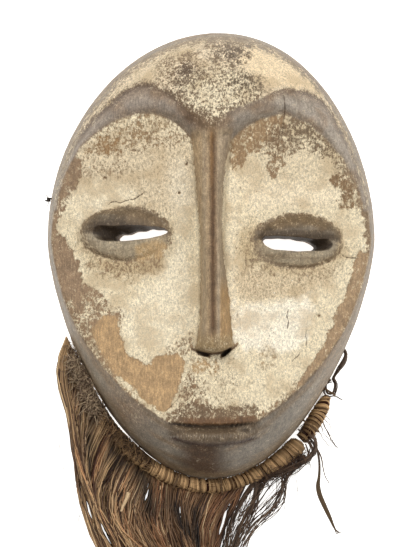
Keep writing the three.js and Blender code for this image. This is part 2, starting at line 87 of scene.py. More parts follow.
def srgb(red: float, green: float, blue: float) -> Colour:
    """A linear colour from the usual 0 to 255 values."""
    shares = [value / 255 for value in (red, green, blue)]
    return tuple(s / 12.92 if s <= 0.04045 else ((s + 0.055) / 1.055) ** 2.4 for s in shares)


def smooth(low: float, high: float, value: Array) -> Array:
    """A soft step from 0 at low to 1 at high."""
    t = np.clip((value - low) / (high - low), 0.0, 1.0)
    return t * t * (3.0 - 2.0 * t)


def mix(a: Array, b: Array, share: Array) -> Array:
    """The value a share of the way from a to b."""
    return a + (b - a) * share


def bell(value: Array, width: float) -> Array:
    """A bell curve, 1 at value 0."""
    return np.exp(-((value / width) ** 2))


def soft_min(a: Array, b: Array, softness: float) -> Array:
    """The lower of two heights, with a rounded edge of about softness where they meet."""
    gap = np.clip(0.5 + 0.5 * (b - a) / softness, 0.0, 1.0)
    return mix(b, a, gap) - softness * gap * (1.0 - gap)


def soft_max(a: Array, b: Array, softness: float) -> Array:
    """The higher of two heights, with a rounded valley of about softness where they meet."""
    return -soft_min(-a, -b, softness)


def unit(vectors: Array) -> Array:
    """The vectors at length 1."""
    return vectors / np.maximum(np.linalg.norm(vectors, axis=-1, keepdims=True), 1e-9)


def through(knots: Array, values: Array, at: Array) -> Array:
    """A smooth curve through values at rising knots.

    Args:
        knots: The places of the values, rising.
        values: One row for each knot.
        at: Where the curve is wanted.

    Returns:
        One row for each place in at.
    """
    values = np.asarray(values, float)
    flat = values.ndim == 1
    rows = values[:, None] if flat else values
    slopes = np.gradient(rows, knots, axis=0)
    at = np.clip(at, knots[0], knots[-1])
    i = np.clip(np.searchsorted(knots, at) - 1, 0, len(knots) - 2)
    span = (knots[i + 1] - knots[i])[..., None]
    u = (at - knots[i])[..., None] / span
    a = (2 * u**3 - 3 * u**2 + 1) * rows[i] + (u**3 - 2 * u**2 + u) * span * slopes[i]
    b = (3 * u**2 - 2 * u**3) * rows[i + 1] + (u**3 - u**2) * span * slopes[i + 1]
    return (a + b)[..., 0] if flat else a + b


def resample(points: Array, count: int) -> Array:
    """Evenly spaced points on a smooth curve through the given ones.

    Args:
        points: The points to pass through.
        count: How many points to return.

    Returns:
        The points, one a row.
    """
    points = np.asarray(points, float)
    knots = np.r_[0.0, np.cumsum(np.linalg.norm(np.diff(points, axis=0), axis=1))]
    return through(knots, points, np.linspace(0.0, knots[-1], count))


class Grain:
    """Smooth seeded noise over space, from -1 to 1."""

    TABLE = 1024  # values in the lattice's table
    SHIFT = 37.1  # between the layers, so that they don't line up

    def __init__(self, seed: int) -> None:
        """Fills the lattice's table from the seed.

        Args:
            seed: The seed.
        """
        draw = np.random.default_rng(seed)
        self.values = draw.uniform(-1.0, 1.0, self.TABLE)
        self.order = draw.permutation(self.TABLE)

    def _corner(self, x: Array, y: Array, z: Array) -> Array:
        """The lattice's value at whole-numbered corners.

        Args:
            x: The corners' x.
            y: Their y.
            z: Their z.

        Returns:
            A value for each corner.
        """
        row = self.order[x % self.TABLE]
        row = self.order[(row + y) % self.TABLE]
        return self.values[self.order[(row + z) % self.TABLE]]

    def at(self, points: Array, size: Size) -> Array:
        """One layer of noise.

        Args:
            points: Rows of x, y and z.
            size: The size of a patch, the same all ways or along x, y and z.

        Returns:
            One value for each point.
        """
        scaled = points / np.asarray(size)
        whole = np.floor(scaled).astype(np.int64)
        part = scaled - whole
        part = part * part * (3.0 - 2.0 * part)
        total = np.zeros(len(points))
        for corner in range(8):
            step = np.array([corner & 1, (corner >> 1) & 1, corner >> 2])
            weight = np.prod(np.where(step, part, 1.0 - part), axis=1)
            total += weight * self._corner(*(whole + step).T)
        return total

    def layered(self, points: Array, size: Size, layers: int = 3) -> Array:
        """Noise whose finer layers are each half as strong and half the size.

        Args:
            points: The points.
            size: The size of the largest patches.
            layers: How many layers to add.

        Returns:
            The noise at each point.
        """
        size = np.asarray(size, float)
        parts = [self.at(points + self.SHIFT * k, size / 2**k) / 2**k for k in range(layers)]
        return np.sum(parts, axis=0) / (2.0 - 0.5 ** (layers - 1))


@dataclass
class Draft:
    """The points and faces of a mesh on the way, in the mask's frame, in millimetres."""

    points: Array
    faces: list[Array]

    def make(self, name: str, material: Material, slot: Slot) -> Piece:
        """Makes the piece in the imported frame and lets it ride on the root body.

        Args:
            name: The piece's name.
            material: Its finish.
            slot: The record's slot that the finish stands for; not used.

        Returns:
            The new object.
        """
        mesh = bpy.data.meshes.new(name)
        placed = (self.points + OFFSET) * MM
        mesh.vertices.add(len(placed))
        mesh.vertices.foreach_set("co", placed.astype(np.float32).ravel())
        loops = np.concatenate([f.ravel() for f in self.faces])
        sizes = np.concatenate([np.full(len(f), f.shape[1]) for f in self.faces])
        mesh.loops.add(len(loops))
        mesh.loops.foreach_set("vertex_index", loops.astype(np.int32))
        mesh.polygons.add(len(sizes))
        mesh.polygons.foreach_set("loop_start", np.r_[0, np.cumsum(sizes)[:-1]].astype(np.int32))
        mesh.polygons.foreach_set("use_smooth", np.ones(len(sizes), bool))
        mesh.update(calc_edges=True)
        mesh.materials.append(material)
        piece = bpy.data.objects.new(name, mesh)
        bpy.context.scene.collection.objects.link(piece)
        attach(piece, "root")
        return piece


def joined(drafts: list[Draft]) -> Draft:
    """Several drafts as one.

    Args:
        drafts: The drafts, in order.

    Returns:
        One draft with all their points and faces.
    """
    starts = np.r_[0, np.cumsum([len(d.points) for d in drafts])[:-1]]
    faces = [f + start for d, start in zip(drafts, starts) for f in d.faces]
    return Draft(np.concatenate([d.points for d in drafts]), faces)


def sweep(paths: Array, radii: Array, sides: int, reference: Array = UP, flat: float = 1.0) -> Draft:
    """Closed tubes along paths.

    Args:
        paths: For each tube, a row of points.
        radii: The radius at each of the points.
        sides: The number of a section's sides.
        reference: A direction that the paths never follow, or one for each point.
        flat: The section's thickness along the reference, as a share of its width.

    Returns:
        The draft of all tubes. A tube's points follow each other, ring by ring.
    """
    count, length, _ = paths.shape
    along = unit(np.gradient(paths, axis=1))
    across = unit(np.cross(along, np.broadcast_to(reference, paths.shape)))
    up = np.cross(across, along)
    turns = FULL_TURN * np.arange(sides) / sides
    ring = np.cos(turns)[:, None] * across[:, :, None] + flat * np.sin(turns)[:, None] * up[:, :, None]
    points = paths[:, :, None] + radii[:, :, None, None] * ring
    index = np.arange(count * length * sides).reshape(count, length, sides)
    ahead = np.roll(index, -1, axis=2)
    walls = np.stack([index[:, :-1], index[:, 1:], ahead[:, 1:], ahead[:, :-1]], axis=-1)
    return Draft(points.reshape(-1, 3), [walls.reshape(-1, 4), index[:, 0], index[:, -1, ::-1]])


def paint(piece: Piece, name: str, values: Array) -> None:
    """Stores a value or a colour for each point of a piece, for its finish to read.

    Args:
        piece: The piece.
        name: The name that the finish reads.
        values: A number or a colour for each point.
    """
    values = np.asarray(values, np.float32)
    if values.ndim == 1:
        piece.data.attributes.new(name, "FLOAT", "POINT").data.foreach_set("value", values)
        return
    rgba = np.concatenate([values, np.ones((len(values), 1), np.float32)], axis=1)
    piece.data.attributes.new(name, "FLOAT_COLOR", "POINT").data.foreach_set("color", rgba.ravel())


class FinishSheet:
    """Lays out the nodes of one finish. Its patterns are measured in millimetres."""

    def __init__(self, name: str) -> None:
        """Starts a material with one shader.

        Args:
            name: The material's name.
        """
        self.material = bpy.data.materials.new(name)
        self.material.use_nodes = True
        self.tree = self.material.node_tree
        self.shader = self.tree.nodes["Principled BSDF"]
        scale = self._node("ShaderNodeVectorMath", operation="SCALE")
        self._feed(scale.inputs[0], self._node("ShaderNodeTexCoord").outputs["Object"])
        scale.inputs["Scale"].default_value = 1.0 / MM
        self.place = scale.outputs[0]

    def _node(self, kind: str, **settings: object) -> bpy.types.Node:
        """A new node with its settings.

        Args:
            kind: The node's type.
            **settings: The node's options.

        Returns:
            The node.
        """
        node = self.tree.nodes.new(kind)
        for key, value in settings.items():
            setattr(node, key, value)
        return node

    def _feed(self, socket: Socket, value: object) -> None:
        """Links a socket, or sets its value.

        Args:
            socket: The input to fill.
            value: A socket, a number or a colour.
        """
        if isinstance(value, bpy.types.NodeSocket):
            self.tree.links.new(value, socket)
        elif isinstance(value, tuple) and len(value) == 3 and len(socket.default_value) == 4:
            socket.default_value = (*value, 1.0)
        else:
            socket.default_value = value

    def stored(self, name: str) -> Socket:
        """A value that paint stored on the piece."""
        return self._node("ShaderNodeAttribute", attribute_name=name).outputs["Fac"]

    def stored_colour(self, name: str) -> Socket:
        """A colour that paint stored on the piece."""
        return self._node("ShaderNodeAttribute", attribute_name=name).outputs["Color"]

    def noise(self, size: Size, detail: float = 4.0, rough: float = 0.6) -> Socket:
        """Noise with patches of a size in millimetres, around 0.5.

        Args:
            size: The patches' size in millimetres.
            detail: How many finer layers it has.
            rough: How strong they are.

        Returns:
            The noise.
        """
        place = self.place
        if isinstance(size, tuple):
            stretch = self._node("ShaderNodeVectorMath", operation="DIVIDE")
            self._feed(stretch.inputs[0], place)
            self._feed(stretch.inputs[1], size)
            place, size = stretch.outputs[0], 1.0
        node = self._node("ShaderNodeTexNoise")
        self._feed(node.inputs["Vector"], place)
        for key, value in (("Scale", 1.0 / size), ("Detail", detail), ("Roughness", rough)):
            node.inputs[key].default_value = value
        return node.outputs["Fac"]

    def spots(self, size: float) -> Socket:
        """The distance to the nearest of scattered spots, in shares of their spacing.

        Args:
            size: The spots' spacing in millimetres.

        Returns:
            The distance.
        """
        node = self._node("ShaderNodeTexVoronoi")
        self._feed(node.inputs["Vector"], self.place)
        node.inputs["Scale"].default_value = 1.0 / size
        return node.outputs["Distance"]

    def step(self, value: Socket, low: float, high: float, start: float = 0.0, end: float = 1.0) -> Socket:
        """A soft step from start at low to end at high.

        Args:
            value: What the step follows.
            low: Where it starts.
            high: Where it ends.
            start: The value up to low.
            end: The value from high on.

        Returns:
            The step.
        """
        node = self._node("ShaderNodeMapRange", interpolation_type="SMOOTHSTEP")
        keys = ("Value", "From Min", "From Max", "To Min", "To Max")
        for key, given in zip(keys, (value, low, high, start, end)):
            self._feed(node.inputs[key], given)
        return node.outputs[0]

    def sum(self, operation: str, a: object, b: object, c: object = 0.0) -> Socket:
        """A sum on values, such as ADD, MULTIPLY or MULTIPLY_ADD.

        Args:
            operation: The sum's name.
            a: The first value.
            b: The second value.
            c: The third value, if the sum has one.

        Returns:
            The result.
        """
        node = self._node("ShaderNodeMath", operation=operation)
        for socket, value in zip(node.inputs, (a, b, c)):
            self._feed(socket, value)
        return node.outputs[0]

    def blend(self, share: object, a: object, b: object, way: str = "MIX") -> Socket:
        """Two colours blended by a share.

        Args:
            share: How much of the second colour there is.
            a: The first colour.
            b: The second colour.
            way: How they blend.

        Returns:
            The blended colour.
        """
        node = self._node("ShaderNodeMix", data_type="RGBA", blend_type=way)
        for socket, value in zip((node.inputs[0], node.inputs[6], node.inputs[7]), (share, a, b)):
            self._feed(socket, value)
        return node.outputs[2]

    def shade(self, colour: Socket, share: Socket, low: float, high: float) -> Socket:
        """A colour made darker or lighter as share goes from 0 to 1.

        Args:
            colour: The colour.
            share: What the shade follows.
            low: The brightness at 0.
            high: The brightness at 1.

        Returns:
            The shaded colour.
        """
        tone = self.step(share, 0.0, 1.0, low, high)
        join = self._node("ShaderNodeCombineColor")
        for socket in join.inputs:
            self._feed(socket, tone)
        return self.blend(1.0, colour, join.outputs[0], "MULTIPLY")

    def finish(self, colour: Socket, roughness: float | Socket, height: Socket, depth: float,
               specular: float) -> None:
        """Feeds the shader.

        Args:
            colour: The surface's colour.
            roughness: Its roughness, a value or a pattern.
            height: The pattern of its fine relief.
            depth: The relief's depth in millimetres.
            specular: The strength of its gloss.
        """
        bump = self._node("ShaderNodeBump")
        bump.inputs["Distance"].default_value = depth * MM
        self._feed(bump.inputs["Height"], height)
        self._feed(self.shader.inputs["Base Color"], colour)
        self._feed(self.shader.inputs["Roughness"], roughness)
        self._feed(self.shader.inputs["Normal"], bump.outputs[0])
        self.shader.inputs["Specular IOR Level"].default_value = specular


@dataclass(frozen=True)
class ChalkedWood:
    """Bare, handled wood with a worn coat of pale clay. Its sizes are in millimetres."""

    fleck: float = 0.55
    crumb: float = 0.95
    patch: float = 4.5
    stain: float = 14.0
    grain: Size = (0.7, 6.0, 1.5)
    relief: float = 0.34

    def material(self) -> Material:
        """The finish as a material.

        Returns:
            The material.
        """
        sheet = FinishSheet("chalked_wood")
        fine = sheet.noise(self.fleck, 3.0, 0.7)
        crumb = sheet.noise((self.crumb, 1.7 * self.crumb, self.crumb), 4.0, 0.7)
        coarse = sheet.noise(self.patch, 4.0, 0.65)
        broad = sheet.noise(self.stain, 3.0, 0.6)
        grain = sheet.noise(self.grain, 5.0, 0.7)
        speckle = sheet.stored("speckle")
        base = sheet.stored("cover")
        torn = sheet.sum("MULTIPLY", sheet.step(base, 0.05, 0.45), sheet.step(base, 0.95, 0.55))
        edge = sheet.sum("MULTIPLY", torn, sheet.sum("SUBTRACT", sheet.noise(2.6, 3.0, 0.6), 0.5))
        flecks = sheet.sum("MULTIPLY_ADD", sheet.sum("SUBTRACT", crumb, 0.5), 2.9,
                           sheet.sum("MULTIPLY", sheet.sum("SUBTRACT", fine, 0.5), 1.1))
        worn = sheet.sum("MULTIPLY_ADD", sheet.sum("SUBTRACT", coarse, 0.5), 1.1, base)
        worn = sheet.sum("MULTIPLY_ADD", edge, 1.6, worn)
        loose = sheet.sum("MULTIPLY", speckle, sheet.step(coarse, 0.36, 0.6, 0.4, 1.25))
        signal = sheet.sum("MULTIPLY_ADD", flecks, loose, worn)
        cover = sheet.step(signal, 0.2, 0.8)
        wood = sheet.shade(sheet.stored_colour("wood"), sheet.step(grain, 0.3, 0.7), 0.82, 1.17)
        wood = sheet.shade(wood, sheet.step(fine, 0.3, 0.7), 0.82, 1.16)
        wood = sheet.shade(wood, sheet.step(crumb, 0.3, 0.7), 0.88, 1.12)
        wood = sheet.shade(wood, sheet.step(coarse, 0.3, 0.7), 0.86, 1.14)
        residue = sheet.sum("MULTIPLY", sheet.step(crumb, 0.58, 0.68), sheet.sum("MULTIPLY", speckle, 0.7))
        wood = sheet.blend(residue, wood, srgb(206, 188, 158))
        clay = sheet.shade(sheet.stored_colour("clay"), sheet.step(fine, 0.32, 0.68), 0.8, 1.2)
        clay = sheet.shade(clay, sheet.step(crumb, 0.32, 0.68), 0.8, 1.2)
        tan = sheet.sum("MULTIPLY", sheet.step(broad, 0.46, 0.66), sheet.step(crumb, 0.3, 0.6, 0.25, 0.62))
        clay = sheet.blend(tan, clay, srgb(190, 166, 130))
        pits = sheet.step(sheet.spots(2.6), 0.06, 0.15, 0.85, 0.0)
        pits = sheet.sum("MULTIPLY", pits, sheet.step(coarse, 0.5, 0.6))
        clay = sheet.blend(pits, clay, srgb(128, 104, 78))
        flakes = sheet.step(sheet.spots(3.3), 0.05, 0.14, 0.7, 0.0)
        flakes = sheet.sum("MULTIPLY", flakes, sheet.step(broad, 0.55, 0.42))
        clay = sheet.blend(flakes, clay, srgb(250, 246, 234))
        colour = sheet.blend(cover, wood, clay)
        split = sheet.sum("ABSOLUTE", sheet.stored("beside_crack"), 0.0)
        split = sheet.sum("MULTIPLY_ADD", sheet.sum("SUBTRACT", crumb, 0.5), 0.9, split)
        line = sheet.sum("MULTIPLY", sheet.step(split, 0.08, 0.38, 0.9, 0.0), sheet.stored("crack"))
        colour = sheet.blend(line, colour, srgb(74, 56, 40))
        height = sheet.sum("MULTIPLY_ADD", cover, 0.45, sheet.sum("MULTIPLY_ADD", fine, 0.5, crumb))
        sheet.finish(colour, sheet.step(cover, 0.0, 1.0, 0.5, 0.88), height, self.relief, 0.32)
        return sheet.material


@dataclass(frozen=True)
class DryFibre:
    """Dry plant fibre: its own tones, finely streaked."""

    name: str
    roughness: float = 0.55
    specular: float = 0.3
    streak: float = 0.5

    def material(self) -> Material:
        """The finish as a material.

        Returns:
            The material.
        """
        sheet = FinishSheet(self.name)
        streaks = sheet.noise(self.streak, 3.0, 0.6)
        patches = sheet.noise(6.0, 2.0, 0.5)
        colour = sheet.shade(sheet.stored_colour("tone"), streaks, 0.7, 1.35)
        colour = sheet.shade(colour, patches, 0.8, 1.2)
        sheet.finish(colour, self.roughness, streaks, 0.08, self.specular)
        return sheet.material


@dataclass(frozen=True)
class PaleFloor:
    """A plain pale surface that is bright enough to hold hardly any shadow."""

    colour: Colour = (0.86, 0.86, 0.84)
    glow: float = 0.97

    def material(self) -> Material:
        """The finish as a material.

        Returns:
            The material.
        """
        sheet = FinishSheet("pale_floor")
        mottle = sheet.noise(60.0, 2.0, 0.5)
        base = sheet.blend(1.0, self.colour, self.colour)
        sheet.finish(sheet.shade(base, mottle, 0.98, 1.02), 0.9, mottle, 0.02, 0.1)
        sheet.shader.inputs["Emission Color"].default_value = (1.0, 1.0, 0.985, 1.0)
        sheet.shader.inputs["Emission Strength"].default_value = self.glow
        return sheet.material


@dataclass(frozen=True)
class Outline:
    """The mask's outline, by the direction phi from the middle of its widest level."""

    half_width: float = 80.7
    widest: float = 8.0
    crown_reach: float = 102.0
    chin_reach: float = 118.5
    jaw_taper: float = 0.155
    rounding: float = 0.05
    pinch: float = 1.1
    crown_lean: float = 3.7
    jaw_sway: float = 0.7

    def point(self, phi: Array) -> Array:
        """The outline's points in the directions phi.

        Args:
            phi: The directions, in radians.

        Returns:
            A flat point for each direction.
        """
        rise = np.sin(phi)
        fall = np.maximum(0.0, -rise)
        flank = np.sin(2 * phi) ** 2
        taper = 1 - self.jaw_taper * (np.hypot(fall, self.rounding) - self.rounding)
        width = self.half_width * taper - self.pinch * flank
        shift = self.crown_lean * np.maximum(0.0, rise) ** 3 - np.where(fall > 0, self.jaw_sway * flank, 0.0)
        reach = np.where(rise > 0, self.crown_reach, self.chin_reach)
        return np.stack([width * np.cos(phi) + shift, self.widest + reach * rise], axis=-1)

    def outward(self, phi: Array) -> Array:
        """The outline's direction out of the wood.

        Args:
            phi: The directions, in radians.

        Returns:
            A flat unit vector for each direction.
        """
        step = 0.01
        along = self.point(phi + step) - self.point(phi - step)
        return unit(np.stack([along[..., 1], -along[..., 0]], axis=-1))

    def beside(self, phi: Array, offset: Array, z: Array) -> Array:
        """Points offset out of the outline, at a height.

        Args:
            phi: The directions, in radians.
            offset: How far out of the outline they lie.
            z: Their height.

        Returns:
            The points.
        """
        flat = self.point(phi) + self.outward(phi) * np.asarray(offset)[..., None]
        level = np.broadcast_to(np.asarray(z)[..., None], (*flat.shape[:-1], 1))
        return np.concatenate([flat, level], axis=-1)

    def reach(self, x: Array, y: Array) -> Array:
        """How far from the middle the outline lies, in the direction of each point.

        Args:
            x: The points' x.
            y: The points' y.

        Returns:
            The distances.
        """
        up = y - self.widest
        phi = np.arctan2(up / self.chin_reach, x / (self.half_width * 0.9))
        for _ in range(4):
            edge = self.point(phi)
            phi = phi + np.arctan2(up, x) - np.arctan2(edge[..., 1] - self.widest, edge[..., 0])
        edge = self.point(phi)
        return np.hypot(edge[..., 0], edge[..., 1] - self.widest)

    def within(self, phi: Array, share: Array) -> Array:
        """Points a share of the way out to the outline."""
        edge = self.point(phi)
        return np.stack([edge[..., 0] * share, mix(self.widest, edge[..., 1], share)], axis=-1)


OUTLINE = Outline()
LOW_CORNER = (-OUTLINE.half_width, OUTLINE.widest - OUTLINE.chin_reach)
OFFSET = np.array([*(np.array(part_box("wooden_mask")[0])[:2] / MM - LOW_CORNER), 0.0])


@dataclass(frozen=True)
class BrowLobe:
    """The arch of the face under one brow."""

    x: float
    y: float
    inner: float
    outer: float
    reach: float
    inner_power: float
    outer_power: float

    def holds(self, x: Array, y: Array) -> Array:
        """Whether points lie under the arch, or below its springing.

        Args:
            x: The points' x.
            y: The points' y.

        Returns:
            True for each point that does.
        """
        outer = np.sign(x - self.x) == np.sign(self.x)
        across = np.abs(x - self.x) / np.where(outer, self.outer, self.inner)
        up = np.maximum(0.0, y - self.y) / self.reach
        power = np.where(outer, self.outer_power, self.inner_power)
        return (across**power + up**power < 1) | (y < self.y)


@dataclass(frozen=True)
class FaceForm:
    """The heart-shaped face sunk into the egg that the mask is carved from."""

    level: float = 5.0
    half_width: float = 79.0
    reach: float = 93.0
    power: float = 1.62
    lobes: tuple[BrowLobe, BrowLobe] = (
        BrowLobe(-32, 22, 33, 43.4, 47.5, 2, 1.85),
        BrowLobe(35.5, 18.5, 43.6, 40, 50.5, 1.8, 1.62),
    )
    height: float = 54.0
    rays: int = 1441  # that find the face's edge
    edge_step: float = 0.4  # between the edge's points
    halvings: int = 24  # in the search for the edge
    brow_band: float = 12.5
    brow_widths: tuple[tuple[float, float], ...] = (
        (0, 0.4), (12, 1.2), (25, 3.9), (34, 5.9), (42, 8.6), (47, 11.2), (54, 13), (60, 12.4), (66, 10.8),
        (72, 8.6), (80, 10), (88, 9.4), (94, 8), (100, 8), (106, 10.8), (112, 13.4), (119, 12), (127, 8.2),
        (132, 6.4), (138, 4.8), (146, 3.4), (156, 2.6), (170, 1.8), (182, 1),
    )

    def holds(self, x: Array, y: Array) -> Array:
        """Whether points lie in the heart-shaped face.

        Args:
            x: The points' x.
            y: The points' y.

        Returns:
            True for each point that does.
        """
        across = np.abs(x / self.half_width) ** self.power
        down = (np.maximum(0.0, self.level - y) / self.reach) ** self.power
        return (across + down < 1) & (self.lobes[0].holds(x, y) | self.lobes[1].holds(x, y))

    def edge(self, phi: Array) -> Array:
        """The share of the way out at which a ray leaves the face.

        Args:
            phi: The directions, in radians.

        Returns:
            The shares, of the outline's distance.
        """
        low, high = np.zeros_like(phi), np.ones_like(phi)
        for _ in range(self.halvings):
            middle = (low + high) / 2
            inside = self.holds(*np.moveaxis(OUTLINE.within(phi, middle), -1, 0))
            low, high = np.where(inside, middle, low), np.where(inside, high, middle)
        return low

    def plane(self, x: Array, y: Array) -> Array:
        """The height of the slightly dished face, without nose, eyes and mouth.

        Args:
            x: The points' x.
            y: The points' y.

        Returns:
            The heights.
        """
        mouth = 8.5 * np.clip(-y / 80, 0, 1.2) ** 1.5
        top = 3.0 * np.clip(y / 66, 0, 1) ** 2
        socket = 2.5 * bell(np.abs(x) - 40, 24) * bell(y - 10, 26)
        return 36.0 - 7.0 * (x / self.half_width) ** 2 + mouth + top - socket

    def fullness(self, phi: Array) -> Array:
        """The power of the egg's section: high is steep-walled."""
        rise = np.sin(phi)
        return mix(12.0, np.where(rise > 0, 3.4, 4.8), np.abs(rise) ** 0.5)

    def crest(self, phi: Array) -> Array:
        """The egg's full height in a direction: below the eyes it meets the face's edge.

        Args:
            phi: The directions, in radians.

        Returns:
            The heights.
        """
        edge = self.edge(phi)
        plane = self.plane(*np.moveaxis(OUTLINE.within(phi, edge), -1, 0))
        meeting = (plane + 0.5) / np.sqrt(1 - edge ** self.fullness(phi))
        return mix(np.minimum(meeting, self.height + 3), self.height, smooth(-0.45, 0, np.sin(phi)))

    def beyond(self, x: Array, y: Array) -> Array:
        """How far points lie outside the face's edge: below 0 inside it.

        Args:
            x: The points' x.
            y: The points' y.

        Returns:
            The distances.
        """
        rays = np.linspace(0, FULL_TURN, self.rays)
        line = OUTLINE.within(rays, self.edge(rays))
        knots = np.r_[0, np.cumsum(np.linalg.norm(np.diff(line, axis=0), axis=1))]
        even = np.arange(0, knots[-1], self.edge_step)
        line = np.stack([np.interp(even, knots, line[:, k]) for k in (0, 1)], axis=-1)
        tree = KDTree(len(line))
        for i, (px, py) in enumerate(line):
            tree.insert((px, py, 0), i)
        tree.balance()
        far = np.array([tree.find((px, py, 0))[2] for px, py in zip(x, y)])
        return np.where(self.holds(x, y), -far, far)

    def band(self, x: Array, y: Array) -> Array:
        """The width of the brow's rounded step, narrower towards the temples."""
        return mix(6.0, self.brow_band, smooth(20, 60, y + 0.15 * np.abs(x)))

    def bare_band(self, x: Array, y: Array) -> Array:
        """The width of the brow's dark bare band, by direction.

        Args:
            x: The points' x.
            y: The points' y.

        Returns:
            The widths.
        """
        table = np.array(self.brow_widths, float)
        phi = np.degrees(np.arctan2(np.maximum(y - OUTLINE.widest, 0), x))
        return through(table[:, 0], table[:, 1], phi)

    def groove_share(self, x: Array, y: Array) -> Array:
        """How marked the line above the bare band is: most on the left, little right of the nose."""
        phi = np.degrees(np.arctan2(y - OUTLINE.widest, x))
        return np.clip(smooth(84, 100, phi) + 0.7 * smooth(70, 55, phi) + 0.15, 0, 1)


FACE = FaceForm()


@dataclass(frozen=True)
class Nose:
    """The long narrow nose, by stations up its length."""

    stations: tuple[tuple[float, float, float, float, float], ...] = (
        (-47.2, 1.2, 8.3, 3.4, 49.4),
        (-45.6, 1.3, 9, 4.2, 51.4),
        (-41, 1.4, 8.6, 4, 53.2),
        (-32, 1.5, 7.6, 3.5, 53.8),
        (-12, 0.9, 6.4, 3.3, 52.6),
        (12, 0.2, 6, 3.4, 51),
        (36, -0.2, 7.6, 3.8, 49.6),
        (50, 0.2, 9.4, 4.2, 48.2),
        (58, 0.6, 11, 4.6, 46.5),
        (66, 1, 12, 5, 43),
    )
    flare: float = 0.8
    tip: tuple[float, float] = (0.3, -47.6)  # where its lower edge is lowest
    tip_bow: float = 0.026
    groove: tuple[float, float, float] = (0.9, 1.3, 0.6)  # where it runs, its half width and its depth

    def at(self, y: Array) -> tuple[Array, Array, Array, Array]:
        """Its middle, half widths at the face and at the crest, and crest height."""
        table = np.array(self.stations, float)
        return tuple(through(table[:, 0], table[:, k], y) for k in range(1, 5))

    def share(self, x: Array, y: Array) -> Array:
        """Where points lie across it: -1 at its left foot, 1 at its right foot.

        Args:
            x: The points' x.
            y: The points' y.

        Returns:
            The shares.
        """
        middle, base, _, _ = self.at(y)
        below = smooth(-0.4, 0.6, self.lower_edge(x) - y)
        return (x - middle) / (base + self.flare) + np.sign(x - middle) * 3 * below

    def lower_edge(self, x: Array) -> Array:
        """The level of its tip's lower edge."""
        return self.tip[1] + self.tip_bow * (x - self.tip[0]) ** 2

    def height(self, x: Array, y: Array, plane: Array) -> Array:
        """The height of its surface, and well under the face away from it.

        Args:
            x: The points' x.
            y: The points' y.
            plane: The face's height there.

        Returns:
            The heights.
        """
        middle, base, crest, top = self.at(y)
        off = np.abs(x - middle)
        foot = plane - 1
        knee, knee_z = mix(base, crest, 0.45), mix(foot, top, 0.62)
        z = mix(top, top - 1, np.clip((off / crest - 0.5) / 0.5, 0, 1))
        z = np.where(off > crest, mix(top - 1, knee_z, np.clip((off - crest) / (knee - crest), 0, 1)), z)
        span = base + self.flare - knee
        z = np.where(off > knee, mix(knee_z, foot, np.clip((off - knee) / span, 0, 2)), z)
        z = z - self.groove[2] * bell(x - self.groove[0], self.groove[1]) * smooth(64, 46, y)
        end = smooth(-0.7, 0.9, y - self.lower_edge(x)) * smooth(70, 62, y)
        near = (off < base + self.flare + 2) & (end > 0)
        return np.where(near, mix(plane - 4, z, end), NO_HEIGHT)


@dataclass(frozen=True)
class Eye:
    """A bean-shaped eye, cut through by a long slit."""

    x: float
    y: float
    slit: tuple[Place, ...]
    hole: tuple[Place, ...]
    half_width: float = 22.4
    half_height: float = 13.4
    rise: float = 6.6
    sunk: float = 1.5

    def reach(self, x: Array, y: Array) -> Array:
        """How far out points lie, 1 at the mound's foot."""
        return np.hypot((x - self.x) / self.half_width, (y - self.y) / self.half_height)

    def height(self, x: Array, y: Array) -> Array:
        """The mound's height, and well under the face away from it.

        Args:
            x: The points' x.
            y: The points' y.

        Returns:
            The heights.
        """
        foot = FACE.plane(np.array(self.x), np.array(self.y)) - self.sunk
        inside = np.clip(1 - self.reach(x, y) ** 2, 0, None)
        lid = 1.1 * smooth(-1, 2.5, y - self.y - 1.5) * smooth(1, 0.6, self.reach(x, y))
        dome = foot + (self.rise + self.sunk) * np.sqrt(inside) + lid
        return np.where(inside > 0, dome, foot - 4 * (self.reach(x, y) - 1))

    def in_slit(self, x: Array, y: Array) -> Array:
        """How far points lie outside the slit: below 0 inside it."""
        return outside(np.column_stack([x - self.x, y - self.y]), self.slit)

    def cutter(self, grain: Grain) -> Draft:
        """The closed shape that cuts the slit: as wide as the lids in front, smaller and ragged behind.

        Args:
            grain: The noise that makes it ragged.

        Returns:
            The cutting shape.
        """
        count = 72
        lines = (self.slit, self.hole)
        front, back = (resample(np.array([*line, line[0]]), count + 1)[:-1] for line in lines)
        levels = [(-2, 1), (12, 1), (24, 1), (29, 0.8), (33, 0.3), (36, 0), (48, 0), (60, 0)]
        rings = []
        for z, deep in levels:
            flat = mix(front, back, deep) + (self.x, self.y)
            ring = np.column_stack([flat, np.full(count, float(z))])
            ring[:, 1] += mix(0.12, 0.4, deep) * grain.layered(ring * [1, 0.2, 0.2], 3.0)
            rings.append(ring)
        return closed_rings(rings)


